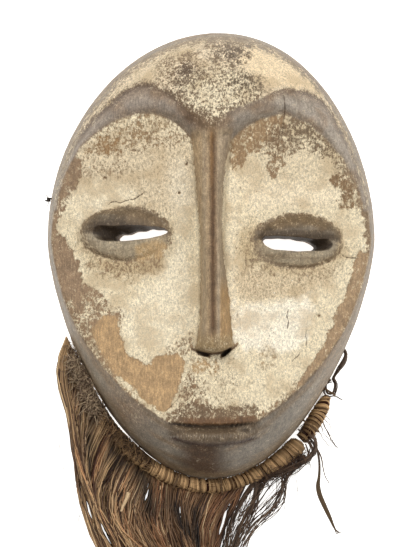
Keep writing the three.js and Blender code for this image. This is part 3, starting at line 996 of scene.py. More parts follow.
LEFT_EYE = Eye(
    -41.8, 10.6,
    slit=((-16, 0.4), (-15.2, -1.4), (-13.6, -2.7), (-9.8, -3.6), (-1.4, -3.6), (6.1, -2.9), (13.7, -1.7),
          (18.5, -0.2), (20.5, 1.1), (19.2, 2.5), (12, 3.6), (3.5, 4.2), (-6, 3.7), (-15, 3)),
    hole=((-2.6, -2.6), (-2.2, -3.8), (-0.6, -4.6), (4, -4.4), (9, -3.9), (14, -2.9), (19.5, -1.2), (21, 0.6),
          (19.5, 1.3), (16.7, 1.3), (13.3, 1.8), (11.4, 0.9), (6.9, 0.4), (3.5, -1.1), (-0.8, -1.3)),
)
RIGHT_EYE = Eye(
    42.3, 6.7,
    slit=((-17.2, 1.2), (-16.6, -0.7), (-12.9, -3.3), (-5.3, -4.3), (-0.7, -4.8), (6.1, -4.5), (11, -4.6),
          (16, -3.6), (17.5, -1.2), (15.8, 0.7), (8, 1.3), (2.3, 2), (-5.3, 2.6), (-12.9, 2.8), (-16.6, 2.4)),
    hole=((-16.9, -0.1), (-15.2, -2.2), (-12.1, -3.6), (-5.3, -4.4), (-1.1, -5), (4.2, -4.9), (7, -4.4),
          (8, -3.2), (7, -2.2), (3.8, -0.6), (0.7, 0.1), (-1.9, 0.4), (-3.8, 0.9), (-8, 1.1), (-12.9, 1.1),
          (-15.9, 0.9)),
)


def outside(points: Array, line: tuple[Place, ...]) -> Array:
    """How far points lie outside a closed outline, seen from above: below 0 inside it.

    Args:
        points: The points.
        line: The outline's corners.

    Returns:
        The distances.
    """
    closed = np.array([*line, line[0]], float)
    x, y = points[:, 0], points[:, 1]
    inside = np.zeros(len(points), bool)
    for (ax, ay), (bx, by) in zip(closed, closed[1:]):
        inside ^= ((ay > y) != (by > y)) & (x < ax + (y - ay) * (bx - ax) / (by - ay if by != ay else 1e-9))
    far = line_distance(points, closed)
    return np.where(inside, -far, far)


def line_distance(points: Array, line: Array) -> Array:
    """How far points lie from a broken line, seen from above.

    Args:
        points: The points.
        line: The line's corners.

    Returns:
        The distances.
    """
    x, y = points[:, 0], points[:, 1]
    nearest = np.full(len(points), 1e9)
    for (ax, ay), (bx, by) in zip(line, line[1:]):
        dx, dy = bx - ax, by - ay
        t = np.clip(((x - ax) * dx + (y - ay) * dy) / max(dx * dx + dy * dy, 1e-9), 0, 1)
        nearest = np.minimum(nearest, np.hypot(x - ax - t * dx, y - ay - t * dy))
    return nearest


def edge_distance(x: Array, y: Array) -> Array:
    """How far points lie in from the mask's outline, along a line from its middle."""
    return OUTLINE.reach(x, y) - np.hypot(x, y - OUTLINE.widest)


def beside_cracks(points: Array) -> tuple[Array, Array]:
    """How far points lie to either side of the nearest crack, and how much of a crack is there.

    Args:
        points: The points.

    Returns:
        The distances, and the cracks' strengths from 0 to 1.
    """
    beside, share = np.full(len(points), 3.0), np.zeros(len(points))
    for line, strength, _ in CRACKS:
        corners = np.array(line) - line[0]
        length = np.hypot(*corners[-1])
        along = corners[-1] / length
        normal = np.array([-along[1], along[0]])
        off = points[:, :2] - line[0]
        run = off @ along
        side = off @ normal - np.interp(run, corners @ along, corners @ normal)
        on = strength * smooth(-0.5, 1.0, run) * smooth(length + 0.5, length - 1.0, run)
        on = on * smooth(2.4, 1.4, np.abs(side))
        beside, share = np.where(on > share, side, beside), np.maximum(on, share)
    return beside, share


def closed_rings(rings: list[Array]) -> Draft:
    """A closed shape from level rings, lowest first, each counter-clockwise seen from above.

    Args:
        rings: The rings, with the same count of points.

    Returns:
        The shape.
    """
    count = len(rings[0])
    index = np.arange(len(rings) * count).reshape(len(rings), count)
    ahead = np.roll(index, -1, axis=1)
    walls = np.stack([index[:-1], ahead[:-1], ahead[1:], index[1:]], axis=-1).reshape(-1, 4)
    return Draft(np.concatenate(rings), [walls, index[:1, ::-1], index[-1:]])


@dataclass(frozen=True)
class Mouth:
    """A thin mouth close to the chin: an upper lip's edge, a recess and a raised lower lip."""

    line: float = -83.0
    bow: float = 0.0032
    half_width: float = 19.8
    drop: float = 3.6
    depth: float = 4.4
    lip: tuple[float, float, float, float, float] = (1.2, -88.4, 18.4, 3.9, 2.5)  # x, y, half sizes, rise

    def slit(self, x: Array) -> Array:
        """The level of the line between the lips."""
        return self.line + self.bow * x**2

    def recess(self, x: Array, y: Array) -> Array:
        """The depth of the mouth: steep under the upper lip, rising to the lower one.

        Args:
            x: The points' x.
            y: The points' y.

        Returns:
            The depths.
        """
        across = np.clip(1 - ((x - 0.6) / self.half_width) ** 2, 0, 1) ** 0.5
        down = (self.slit(x) - y) / (self.drop * np.maximum(across, 0.05))
        shape = smooth(-0.12, 0.12, down) * (1 - 0.75 * smooth(0.1, 1.0, down)) * smooth(1.25, 0.9, down)
        return self.depth * across * shape

    def lip_height(self, x: Array, y: Array) -> Array:
        """The lower lip's height, and well under the face away from it.

        Args:
            x: The points' x.
            y: The points' y.

        Returns:
            The heights.
        """
        lx, ly, half_x, half_y, rise = self.lip
        inside = np.clip(1 - ((x - lx) / half_x) ** 2 - ((y - ly) / half_y) ** 2, 0, None)
        foot = FACE.plane(np.array(lx), np.array(ly)) - rise
        ticks = 0.16 * np.sin(FULL_TURN * x / 1.9) * smooth(0.2, 0.8, inside)
        return np.where(inside > 0, foot + 2 * rise * np.sqrt(inside) + ticks, NO_HEIGHT)


@dataclass(frozen=True)
class Area:
    """A patch of the surface with its own clay, flecks and wood tone. None leaves a value as it is."""

    outline: tuple[Place, ...]
    cover: float | None = None
    clay: Tone | None = None
    wood: Tone | None = None
    speckle: float | None = None
    soft: float = 1.2
    ragged: float = 1.8
    strength: float = 1.0

    def weight(self, points: Array, grain: Grain) -> Array:
        """How much of the patch is at each point.

        Args:
            points: The points.
            grain: The noise that makes its edge ragged.

        Returns:
            The shares, from 0 to 1.
        """
        torn = grain.layered(points, 5.0, 4) + 0.7 * grain.layered(points + 50, 1.5, 2)
        depth = self.ragged * torn - outside(points, self.outline)
        return self.strength * smooth(-self.soft, self.soft, depth)


def oval(x: float, y: float, half_x: float, half_y: float) -> tuple[Place, ...]:
    """The outline of an oval patch."""
    turns = FULL_TURN * np.arange(14) / 14
    return tuple((x + half_x * math.cos(t), y + half_y * math.sin(t)) for t in turns)


BARE_BROWN = (152, 128, 101)
CHEEK_TAN = (180, 148, 108)
CREAM = (226, 212, 183)
BRIGHT_CLAY = (242, 233, 213)
DULL_CLAY = (214, 197, 168)

FACE_AREAS = (
    # Brighter and duller clay
    Area(oval(-38, 40, 34, 24), clay=DULL_CLAY, soft=6, ragged=5, speckle=0.75, cover=0.86),
    Area(oval(38, 42, 30, 18), clay=DULL_CLAY, soft=6, ragged=5, strength=0.6),
    Area(
        ((9, -20), (20, -24), (36, -21), (44, -17), (47, -13), (50, -20), (49.5, -30), (45, -44), (36, -47),
         (14, -47), (10, -36)),
        clay=BRIGHT_CLAY, cover=1.12, speckle=0.4, soft=2.6, ragged=5,
    ),
    Area(((7, 42), (13, 40), (15, 0), (12, -20), (8, -20)), clay=BRIGHT_CLAY, soft=3, ragged=3,
         strength=0.25),
    Area(oval(-15, 33, 5, 13), clay=(232, 220, 196), speckle=0.45, cover=1.0, soft=4, ragged=3, strength=0.7),
    Area(((-20, 8), (-13, 20), (-10, 0), (-9, -36), (-24, -46), (-40, -44), (-44, -26), (-30, -14)),
         clay=(232, 220, 194), soft=4, ragged=4, cover=1.15, speckle=0.3),
    # Worn places
    Area(((-58, 56), (-44, 66), (-30, 70), (-18, 68), (-12, 56), (-24, 52), (-44, 50), (-60, 48)), cover=0.62,
         speckle=0.9, wood=(160, 132, 98), soft=3, ragged=4),
    Area(((-60, 50), (-54, 57.5), (-46, 57), (-44, 49.5), (-52, 48)), cover=0.34, speckle=0.9, soft=2,
         ragged=3, wood=(156, 124, 86)),
    Area(((-43, 62), (-36, 64), (-31, 57), (-38, 54)), cover=0.4, speckle=1.0, soft=2, ragged=3),
    Area(((-66, 44), (-56, 50), (-42, 48), (-44, 38), (-60, 36)), cover=0.7, speckle=0.8, soft=3, ragged=4),
    Area(
        ((-80, 42.5), (-67.5, 52), (-63.5, 44), (-65, 33.5), (-67, 25.5), (-73, 21.5), (-76, 15.5),
         (-74.5, 11.5), (-70.5, 7), (-66.5, 1), (-65, -4.5), (-63, -14), (-58.5, -16), (-53, -20.5),
         (-51, -25), (-53, -29), (-60, -33), (-67, -27), (-76, -20), (-82, -8), (-84, 20)),
        cover=0.06, wood=(148, 123, 97), soft=1, ragged=2.4,
    ),
    Area(((-63, -18), (-55, -20), (-50, -25), (-44, -24.5), (-42, -31), (-45, -37), (-51, -41), (-57, -40),
          (-63, -31)), cover=0.46, speckle=0.9, wood=(160, 132, 102), soft=1.5, ragged=2.5),
    Area(
        ((-59, -37), (-52, -30), (-46, -31), (-44, -37), (-42.5, -43.5), (-40, -48.5), (-36.5, -51),
         (-33.5, -53.5), (-29.5, -53), (-26, -50), (-20.5, -48), (-14.5, -47.5), (-12.5, -52.5),
         (-13.5, -58.5), (-15, -64.5), (-18, -70.5), (-20.5, -75.5), (-23.5, -78), (-30, -75), (-36, -71.5),
         (-45, -63), (-53, -52.5)),
        cover=0.03, wood=CHEEK_TAN, speckle=0.3, soft=0.8, ragged=1.8,
    ),
    Area(((9, 61), (19.5, 66), (36, 68.5), (37, 63), (32.5, 56.5), (25, 52.5), (19.5, 48), (15, 44),
          (11, 41.5), (8.5, 52)), cover=0.27, wood=(158, 129, 95), speckle=1.0, soft=1.6, ragged=3.5),
    Area(oval(32, 51, 8, 6), cover=0.6, wood=(146, 120, 90), speckle=1.0, soft=3, ragged=3),
    Area(oval(33, 58, 6, 7), cover=0.3, wood=(134, 108, 80), speckle=1.1, soft=3, ragged=3),
    Area(((36, 68.5), (47, 66.5), (57, 58), (65, 45), (69.5, 34.5), (67, 33), (62.5, 41.5), (53, 48.5),
          (42, 50), (35, 54)), cover=0.52, speckle=1.0, wood=(132, 111, 86), soft=3.5, ragged=4),
    Area(((37, 67.5), (47, 65), (56, 57), (61, 49), (56, 50), (47, 57), (38, 61)), cover=0.36, speckle=1.0,
         wood=(128, 108, 84), soft=2.5, ragged=3),
    Area(oval(31, 45, 3.5, 8), cover=0.4, speckle=1.1, soft=1.5, ragged=3),
    Area(((58.5, 38), (65, 40.5), (71, 34), (70, 24), (62.5, 23), (58, 29.5)),
         cover=0.24, speckle=1.0, wood=(140, 113, 82), soft=1, ragged=2),
    Area(((66.5, 46.5), (76, 44), (82, 27.5), (84, -2), (76.5, 0), (75, 14.5), (72, 27.5), (67, 37.5)),
         cover=0.16, speckle=0.8, wood=(146, 124, 98), soft=1.2, ragged=2.4),
    Area(
        ((71.5, 3.5), (77, 0), (73.5, -17), (69.5, -27), (64, -41), (55, -54), (44, -67.5), (40, -66.5),
         (48, -55), (55, -43.5), (60.5, -31), (65.5, -20), (69.5, -7)),
        cover=0.12, wood=(164, 137, 106), speckle=0.5, soft=0.8, ragged=2.2,
    ),
    Area(((-12.5, -47.5), (-5.5, -50.5), (10.5, -50), (14.5, -59), (13.5, -71.5), (7, -78.5), (-10.5, -78.5),
          (-17.5, -73.5), (-13.5, -64), (-11.5, -55.5)), cover=0.78, speckle=0.8, wood=(160, 132, 98),
         soft=3, ragged=4),
    Area(oval(-3, -55, 8, 4), cover=0.5, speckle=0.7, wood=(196, 162, 118), soft=2.5, ragged=3),
    Area(((-15, -60), (-9, -58), (-3, -66), (-6, -75), (-15, -76)), cover=0.5, speckle=1.0,
         wood=(140, 112, 84), soft=2.5, ragged=3.5),
    Area(oval(27, -50, 5, 7), cover=0.62, speckle=0.5, wood=(186, 160, 124), soft=2.5, ragged=2),
    Area(((13.5, -3), (25, -5), (44, -8), (59, -6), (57, -14.5), (44, -20), (25, -22), (14.5, -22),
          (10.5, -12)), cover=0.8, clay=(208, 190, 160), speckle=0.6, soft=3, ragged=3.5),
    Area(((-24, -46), (-14, -40), (-9, -36), (-9, -48), (-14, -50)), cover=0.6, speckle=0.9, soft=2,
         ragged=2.5),
    # Browner clay round the eyes
    Area(oval(-42, -5, 19, 6), cover=0.6, clay=(186, 166, 134), speckle=0.9, soft=4, ragged=3),
    Area(oval(20, 6, 7, 10), cover=0.84, clay=(200, 181, 148), speckle=0.8, soft=4, ragged=3),
    Area(oval(27, -3, 11, 4.5), cover=0.44, wood=(150, 129, 102), speckle=0.9, soft=3, ragged=3),
    Area(oval(40, 29, 26, 6), cover=1.0, clay=(233, 218, 190), speckle=0.45, soft=4, ragged=4),
    Area(oval(-53, 28, 18, 8), cover=1.05, clay=(232, 218, 190), speckle=0.42, soft=4, ragged=4),
    Area(oval(44, -8, 17, 4.5), cover=0.76, clay=(205, 187, 157), speckle=0.8, soft=4, ragged=3),
    Area(oval(19, -75.5, 5.5, 3.4), cover=0.42, wood=(132, 110, 84), speckle=0.9, soft=2, ragged=2),
    Area(((-76, -14), (-67, -24), (-59, -38), (-53, -49), (-45, -61), (-48, -64), (-58, -51), (-68, -36),
          (-79, -17)), cover=0.34, wood=(146, 120, 92), speckle=0.9, soft=1.5, ragged=2.2),
    Area(((-47, -62), (-36, -71.5), (-25, -78.5), (-22, -77), (-34, -69), (-45, -59.5)), cover=0.72,
         speckle=0.7, soft=1, ragged=1.6),
    Area(((-22, -79), (-17, -72), (0, -74), (17, -76), (24, -81), (20, -84), (0, -84), (-20, -83)),
         cover=0.26, wood=(118, 95, 71), speckle=0.8, soft=2.4, ragged=3),
)

LID_AREAS = (
    Area(((-37, 4.5), (-30, 7), (-24, 8), (-21.5, 4.5), (-25, -1), (-30, -3), (-36, -2.5)),
         wood=(190, 160, 118), cover=0.25, soft=1.5, ragged=1.5, strength=0.85),
    Area(((-42, 21.5), (-32, 21), (-24, 18), (-20.5, 13), (-22, 11.5), (-30, 14.5), (-42, 17)),
         wood=(124, 106, 84), cover=0.1, speckle=0.5, soft=1.5, ragged=1.5, strength=0.8),
    Area(((27, 14), (33, 19), (41, 21), (50, 19.8), (58, 15), (54, 12.5), (44, 15), (34, 13)),
         wood=(122, 102, 77), cover=0.12, speckle=0.6, soft=1.6, ragged=1.8, strength=0.85),
    Area(((-64.5, 15.5), (-62.4, 17.6), (-57.2, 20.8), (-46, 24.6), (-39, 25.8), (-40, 29.5), (-50, 29.5),
          (-60, 26), (-67, 20)), clay=(234, 221, 194), cover=1.05, speckle=0.42, soft=1.0, ragged=1.2),
)

FOREHEAD_AREAS = (
    Area(((-57.5, 67), (-45, 83), (-25, 100.5), (-8, 107.5), (2, 108.5), (-15.5, 91.5), (-35, 79.5),
          (-50, 67), (-65, 52)), cover=0.86, clay=(210, 192, 163), speckle=0.5, soft=4, ragged=4),
    Area(((-30, 92), (-20, 98), (-8, 100), (-2, 94), (-12, 86), (-26, 84)), cover=0.55, speckle=1.2,
         wood=(138, 112, 82), soft=3, ragged=4),
    Area(((14.5, 101.5), (25, 103.5), (39, 96.5), (51.5, 86), (56.5, 78), (44, 81), (25, 82), (17.5, 88),
          (13.5, 95.5)), cover=0.92, clay=(228, 207, 174), speckle=0.6, soft=3, ragged=3.5),
    Area(oval(4, 79, 20, 14), cover=0.58, speckle=1.5, clay=(222, 207, 178), wood=(134, 113, 88),
         soft=5, ragged=4),
    Area(oval(-12.5, 88.5, 6, 7), cover=0.36, wood=(112, 93, 73), speckle=0.9, soft=4, ragged=3),
    Area(oval(-12.5, 88.5, 3.2, 4.6), cover=0.1, wood=(98, 80, 62), speckle=0.8, soft=2.6, ragged=2),
    Area(oval(-13.5, 80.5, 8, 6), cover=0.5, wood=(120, 100, 78), speckle=1.1, soft=4, ragged=3),
    Area(oval(10, 99.5, 10, 5.2), cover=0.32, wood=(110, 92, 72), speckle=1.0, soft=4, ragged=4),
    Area(oval(17, 84, 10, 4.5), cover=0.46, wood=(112, 96, 76), speckle=1.4, soft=4, ragged=4),
    Area(oval(2, 76, 11, 7), cover=0.72, clay=(228, 214, 186), speckle=1.5, soft=4, ragged=4),
    Area(((-14.5, 108.5), (9.5, 111), (27, 107.5), (14.5, 103.5), (1.5, 102.5), (-9.5, 104.5)),
         cover=0.36, wood=(132, 112, 88), speckle=0.9, soft=4, ragged=3),
    Area(((38, 81), (46, 81), (57, 76), (64, 62), (71, 46), (68, 43), (60, 58), (47, 72), (40, 76)),
         cover=0.8, wood=(182, 160, 130), speckle=0.7, soft=2.5, ragged=3),
)

CRACKS = (  # each with its strength and its depth
    (((35.5, 78.5), (35.9, 74.5), (36.1, 71), (35.6, 67.5), (34.8, 60), (34.2, 56)), 0.85, 0.5),
    (((-50.5, 24.5), (-49, 26), (-46.4, 26.3), (-44.5, 25.6), (-42, 26.6), (-40, 27.2), (-37.6, 27.4),
      (-35, 29.2), (-32.6, 30.8)), 1.0, 0.4),
    (((63.8, 0.8), (65.2, -0.8), (68.5, -1.3), (72.2, -1.2)), 0.9, 0.5),
    (((37.8, -26.5), (37, -29.6), (37.9, -32.4), (37.3, -36.2)), 1.0, 0.4),
    (((46.9, -36.2), (46.1, -39.2), (46.9, -41.4), (46.4, -44.4)), 0.6, 0.2),
    (((43.7, -47), (42.6, -49.4), (40.6, -50.6), (39.6, -52.2)), 0.8, 0.2),
    (((14, -30), (14.4, -36), (14.2, -42)), 0.3, 0.1),
    (((-21.5, -75.5), (-17.5, -71.5), (-12.5, -66.5), (-9.5, -60.5)), 0.5, 0.2),
)
PITS = ((30.7, -9.6), (12.9, -29.2), (52.6, -29.5), (-11.9, 44.7), (-37.2, 51.4), (-15.6, 30.6), (-52, 38))


@dataclass
class Surface:
    """The clay, flecks and wood tone at each of the mask's points; the wood tone also holds painted light and
    shade in places.
    """

    cover: Array
    speckle: Array
    clay: Array
    wood: Array

    def lay(self, weight: Array, cover: float | None = None, speckle: float | None = None,
            clay: Tone | None = None, wood: Tone | None = None) -> None:
        """Lays new values over what is there. None leaves a value as it is.

        Args:
            weight: How much of the new values each point takes.
            cover: How much clay lies there: 0 for none, 1 for a full coat.
            speckle: How strongly the clay breaks up into flecks.
            clay: The clay's tone.
            wood: The wood's tone, with painted light and shade where they are laid.
        """
        if cover is not None:
            self.cover = mix(self.cover, cover, weight)
        if speckle is not None:
            self.speckle = mix(self.speckle, speckle, weight)
        if clay is not None:
            self.clay = mix(self.clay, np.array(srgb(*clay)), weight[:, None])
        if wood is not None:
            self.wood = mix(self.wood, np.array(srgb(*wood)), weight[:, None])

    def lay_area(self, area: Area, weight: Array) -> None:
        """Lays an area's values over what is there, by weight."""
        self.lay(weight, area.cover, area.speckle, area.clay, area.wood)


@dataclass
class RingStack:
    """A mesh that grows by rows of points and by the faces between them."""

    points: list[Array] = field(default_factory=list)
    faces: list[Array] = field(default_factory=list)
    total: int = 0

    def ring(self, rows: Array) -> Array:
        """Adds points.

        Args:
            rows: The points, in their order round the ring.

        Returns:
            Their numbers in the mesh.
        """
        self.points.append(rows)
        self.total += len(rows)
        return np.arange(self.total - len(rows), self.total)

    def strip(self, upper: Array, lower: Array) -> Array:
        """Joins two rings of the same count, and returns the lower one."""
        self.faces.append(np.stack([lower, np.roll(lower, -1), np.roll(upper, -1), upper], axis=-1))
        return lower


@dataclass
class CarvedMask:
    """The wooden mask: front, wall, rim and hollow as one closed mesh."""

    nose: Nose = field(default_factory=Nose)
    mouth: Mouth = field(default_factory=Mouth)
    eyes: tuple[Eye, Eye] = (LEFT_EYE, RIGHT_EYE)
    nostrils: tuple[tuple[float, float, float, float, float], ...] = (
        (-3.9, -48.2, 3.6, 1.0, -0.28),  # x, y, half sizes and lean
        (7.2, -47.6, 3.2, 1.15, 0.7),
    )
    nostril_depth: float = 3.4
    root_dip: tuple[float, float, float, float, float] = (0.5, 50, 61, 17, 23)  # middle and half sizes
    root_depth: float = 14.0
    columns: int = 232
    rows: int = 300
    wall_rings: int = 17
    hollow_rings: int = 26
    merge: int = 4  # fine wall points to one point of the hollow
    wall: float = 8.5
    ceiling: float = 27.0
    rim_bevel: float = 0.9
    hollow_bevel: float = 0.8
    tie_angles: tuple[float, ...] = (209, 224, 240, 257, 274, 290, 311, 321.5)
    tie_hole: tuple[float, float] = (1.9, 9.2)  # radius and height
    tie_notch: tuple[float, float] = (3.0, 2.2)  # width and depth
    temple_angles: tuple[float, ...] = (168.5, 14)
    temple_hole: tuple[float, float] = (1.7, 10.0)
    grain: Grain = field(default_factory=lambda: Grain(7))

    def front_height(self, x: Array, y: Array, egg: Array) -> Array:
        """The carved height at points whose egg height is given.

        Args:
            x: The points' x.
            y: The points' y.
            egg: The egg's height there.

        Returns:
            The heights.
        """
        plane = FACE.plane(x, y)
        out = FACE.beyond(x, y)
        carve = 1 - (1 - np.clip(out / FACE.band(x, y), 0, 1)) ** 2.1
        rise = egg - plane
        low = soft_min(rise, np.zeros_like(rise), 0.9)
        z = plane + low + carve * np.maximum(rise - low, 0)
        bare = FACE.bare_band(x, y)
        z = z - 0.8 * bell(out - bare, 1.5) * smooth(2, 6, bare) * smooth(8, 16, y) * FACE.groove_share(x, y)
        dx, dy, dz, half_x, half_y = self.root_dip
        inside = np.clip(1 - ((x - dx) / half_x) ** 2 - ((y - dy) / half_y) ** 2, 0, None)
        z = soft_min(z, np.where(inside > 0, dz - self.root_depth * np.sqrt(inside), NO_CEILING), 2.0)
        for eye in self.eyes:
            z = np.where(eye.reach(x, y) < 1.3, soft_max(z, eye.height(x, y), 0.7), z)
        z = soft_max(z, self.nose.height(x, y, plane), 0.8)
        z = soft_max(z, self.mouth.lip_height(x, y), 0.8) - self.mouth.recess(x, y)
        return z - self.nostril_depth * np.sqrt(np.clip(1 - self.in_nostril(x, y) ** 2, 0, None))

    def in_nostril(self, x: Array, y: Array) -> Array:
        """How far out points lie from the nearer nostril, 1 at its edge.

        Args:
            x: The points' x.
            y: The points' y.

        Returns:
            The shares.
        """
        nearest = np.full_like(x, 9.0)
        for nx, ny, half_x, half_y, lean in self.nostrils:
            dx, dy = x - nx, y - ny
            along = dx * math.cos(lean) + dy * math.sin(lean)
            across = dy * math.cos(lean) - dx * math.sin(lean)
            nearest = np.minimum(nearest, np.hypot(along / half_x, across / half_y))
        return nearest

    def draft(self) -> Draft:
        """The closed mesh before its holes are cut.

        Returns:
            The mesh.
        """
        mesh = RingStack()
        last, phi = self.grow_front(mesh)
        last = self.grow_wall(mesh, last, phi)
        coarse = phi[:: self.merge]
        last = self.narrow(mesh, last, coarse)
        self.grow_hollow(mesh, last, coarse)
        return Draft(np.concatenate(mesh.points), mesh.faces)

    def shoulder(self, phi: Array) -> Array:
        """How high on the egg the front's grid ends, in shares of its height."""
        return mix(0.75, 0.42, np.abs(np.sin(phi)) ** 0.5)

    def grow_front(self, mesh: RingStack) -> tuple[Array, Array]:
        """Adds the carved front as a square grid that is drawn out to the egg.

        Args:
            mesh: The mesh to add to.

        Returns:
            The numbers of the points on the grid's border, and their directions.
        """
        u, v = np.meshgrid(np.linspace(-1, 1, self.columns), np.linspace(-1, 1, self.rows), indexing="ij")
        u, v = u.ravel() + 1e-12, v.ravel() + 1e-12
        flat = np.abs(u) > np.abs(v)
        radius = np.where(flat, u, v)
        turn = np.where(flat, math.pi / 4 * v / u, math.pi / 2 - math.pi / 4 * u / v)
        phi = np.mod(turn + np.where(radius < 0, math.pi, 0), FULL_TURN)
        power = FACE.fullness(phi)
        share = np.abs(radius) * (1 - self.shoulder(phi) ** 2) ** (1 / power)
        xy = OUTLINE.within(phi, share)
        egg = FACE.crest(phi) * np.sqrt(1 - share**power)
        numbers = mesh.ring(np.column_stack([xy, self.front_height(*xy.T, egg)]))
        index = numbers.reshape(self.columns, self.rows)
        quads = np.stack([index[:-1, :-1], index[1:, :-1], index[1:, 1:], index[:-1, 1:]], axis=-1)
        mesh.faces.append(quads.reshape(-1, 4))
        border = np.concatenate([index[:-1, 0], index[-1, :-1], index[:0:-1, -1], index[0, :0:-1]])
        return border, phi[border]

    def grow_wall(self, mesh: RingStack, last: Array, phi: Array) -> Array:
        """Adds the side wall and the bevel of the rim.

        Args:
            mesh: The mesh to add to.
            last: The front's border.
            phi: The border's directions.

        Returns:
            The rim's outer edge.
        """
        power, crest, shoulder = FACE.fullness(phi), FACE.crest(phi), self.shoulder(phi)
        for i in range(1, self.wall_rings + 1):
            level = shoulder * (1 - i / self.wall_rings)
            if i == self.wall_rings:
                level = self.rim_bevel / crest
            xy = OUTLINE.within(phi, (1 - level**2) ** (1 / power))
            last = mesh.strip(last, mesh.ring(np.column_stack([xy, self.front_height(*xy.T, crest * level)])))
        return mesh.strip(last, mesh.ring(OUTLINE.beside(phi, np.full_like(phi, -self.rim_bevel), 0.0)))

    def narrow(self, mesh: RingStack, outer: Array, coarse: Array) -> Array:
        """Adds the flat rim, where several points of the wall meet one of the hollow.

        Args:
            mesh: The mesh to add to.
            outer: The rim's outer edge.
            coarse: The directions of the hollow's points.

        Returns:
            The rim's inner edge.
        """
        inner = mesh.ring(OUTLINE.beside(coarse, np.full_like(coarse, self.hollow_bevel - self.wall), 0.0))
        fine = outer.reshape(-1, self.merge)
        after = np.roll(outer, -1).reshape(-1, self.merge)
        ahead = np.roll(inner, -1)
        half = self.merge // 2
        for k in range(self.merge):
            mesh.faces.append(np.stack([fine[:, k], inner if k < half else ahead, after[:, k]], axis=-1))
        mesh.faces.append(np.stack([after[:, half - 1], inner, ahead], axis=-1))
        return inner

    def grow_hollow(self, mesh: RingStack, last: Array, coarse: Array) -> None:
        """Adds the rough-hewn hollow, up to its ceiling.

        Args:
            mesh: The mesh to add to.
            last: The rim's inner edge.
            coarse: The edge's directions.
        """
        edge = OUTLINE.beside(coarse, np.full_like(coarse, -self.wall), 0.0)
        for i in range(1, self.hollow_rings):
            slope = math.pi / 2 * (i - 0.85) / (self.hollow_rings - 0.85)
            pull = math.cos(slope) ** 0.5
            rows = np.column_stack([edge[:, 0] * pull, mix(OUTLINE.widest, edge[:, 1], pull),
                                    np.full(len(coarse), self.ceiling * math.sin(slope))])
            hewn = 1.1 * self.grain.layered(rows, (9, 14, 9)) * smooth(0, 6, rows[:, 2])
            rows[:, 2] -= np.abs(hewn) * 0.8
            last = mesh.strip(last, mesh.ring(rows))
        pole = mesh.ring(np.array([[0.0, OUTLINE.widest, self.ceiling]]))
        mesh.faces.append(np.stack([np.full(len(last), pole[0]), np.roll(last, -1), last], axis=-1))

    def relief(self, draft: Draft) -> None:
        """Moves the outside's points by tool marks, clay, cracks and pits.

        Args:
            draft: The mesh, which is changed.
        """
        points = draft.points
        corners = np.concatenate([f[:, :3] for f in draft.faces])
        a, b, c = (points[corners[:, k]] for k in range(3))
        normals = np.zeros_like(points)
        for k in range(3):
            np.add.at(normals, corners[:, k], np.cross(b - a, c - a))
        normals = unit(normals)
        outer = np.zeros(len(points))
        front = self.columns * self.rows
        wall = self.wall_rings * 2 * (self.columns + self.rows - 2)
        outer[: front + wall] = 1
        surface = self.surface(points, normals)
        clay = smooth(0.42, 0.58, surface.cover + 0.35 * self.grain.layered(points + 9, 1.6))
        marks = 0.2 * self.grain.layered(points, (7, 11, 7), 2) + 0.09 * self.grain.layered(points, 1.8, 2)
        depth = marks + 0.24 * clay + 0.12 * surface.speckle * self.grain.at(points, 1.3)
        for line, _, deep in CRACKS:
            depth = depth - deep * bell(line_distance(points, line), 0.55) * (normals[:, 2] > 0.4)
        for px, py in PITS:
            depth = depth - 0.9 * bell(np.hypot(points[:, 0] - px, points[:, 1] - py), 0.7)
        points += normals * (depth * outer * smooth(0.6, 3, points[:, 2]))[:, None]

    def surface(self, points: Array, normals: Array) -> Surface:
        """The clay, flecks and wood tone at points, from the carving's parts and the worn areas.

        Args:
            points: The points.
            normals: The directions that the surface faces.

        Returns:
            The look.
        """
        x, y, z = points.T
        grain = self.grain
        out = FACE.beyond(x, y)
        wavy = out + 0.8 * grain.layered(points, 4.0) + 0.4 * grain.layered(points + 21, 1.4, 2)
        in_face = smooth(0.8, -0.8, wavy)
        high = smooth(-2, 8, y)
        band = FACE.bare_band(x, y)
        brow = smooth(-0.8, 0.8, wavy) * smooth(1.2, -1.2, wavy - band) * high
        fore = smooth(-1.5, 1.5, wavy - band) * high
        jaw = smooth(-0.8, 0.8, out) * (1 - high)
        count = len(points)
        wood, clay = (np.tile(srgb(*tone), (count, 1)) for tone in (BARE_BROWN, CREAM))
        look = Surface(np.full(count, 0.05), np.full(count, 0.5), clay, wood)
        self.lay_forehead(look, points, fore)
        self.lay_jaw(look, points, jaw, out)
        look.lay(in_face, cover=0.92, speckle=0.6, wood=(156, 128, 97))
        rim = smooth(4.5, 0.5, -out + 1.2 * grain.layered(points, 6.0)) * in_face
        look.lay(rim * high, cover=0.62, speckle=1.1)
        look.lay(rim * (1 - high) * smooth(-20, 0, x), cover=0.4, speckle=1.0)
        for area in FACE_AREAS:
            look.lay_area(area, in_face * area.weight(points, grain))
        self.lay_brow(look, points, brow, out, band)
        self.lay_wall(look, points, normals)
        self.lay_nose(look, points)
        self.lay_eyes(look, points)
        self.lay_mouth(look, points)
        for px, py in PITS:
            look.lay(bell(np.hypot(x - px, y - py), 0.65) * 0.9, wood=(86, 68, 48), cover=-0.1, speckle=0.2)
        inside = smooth(0.15, -0.2, normals[:, 2])
        look.lay(inside, cover=-0.2, wood=(134, 108, 80), speckle=0.3)
        return look

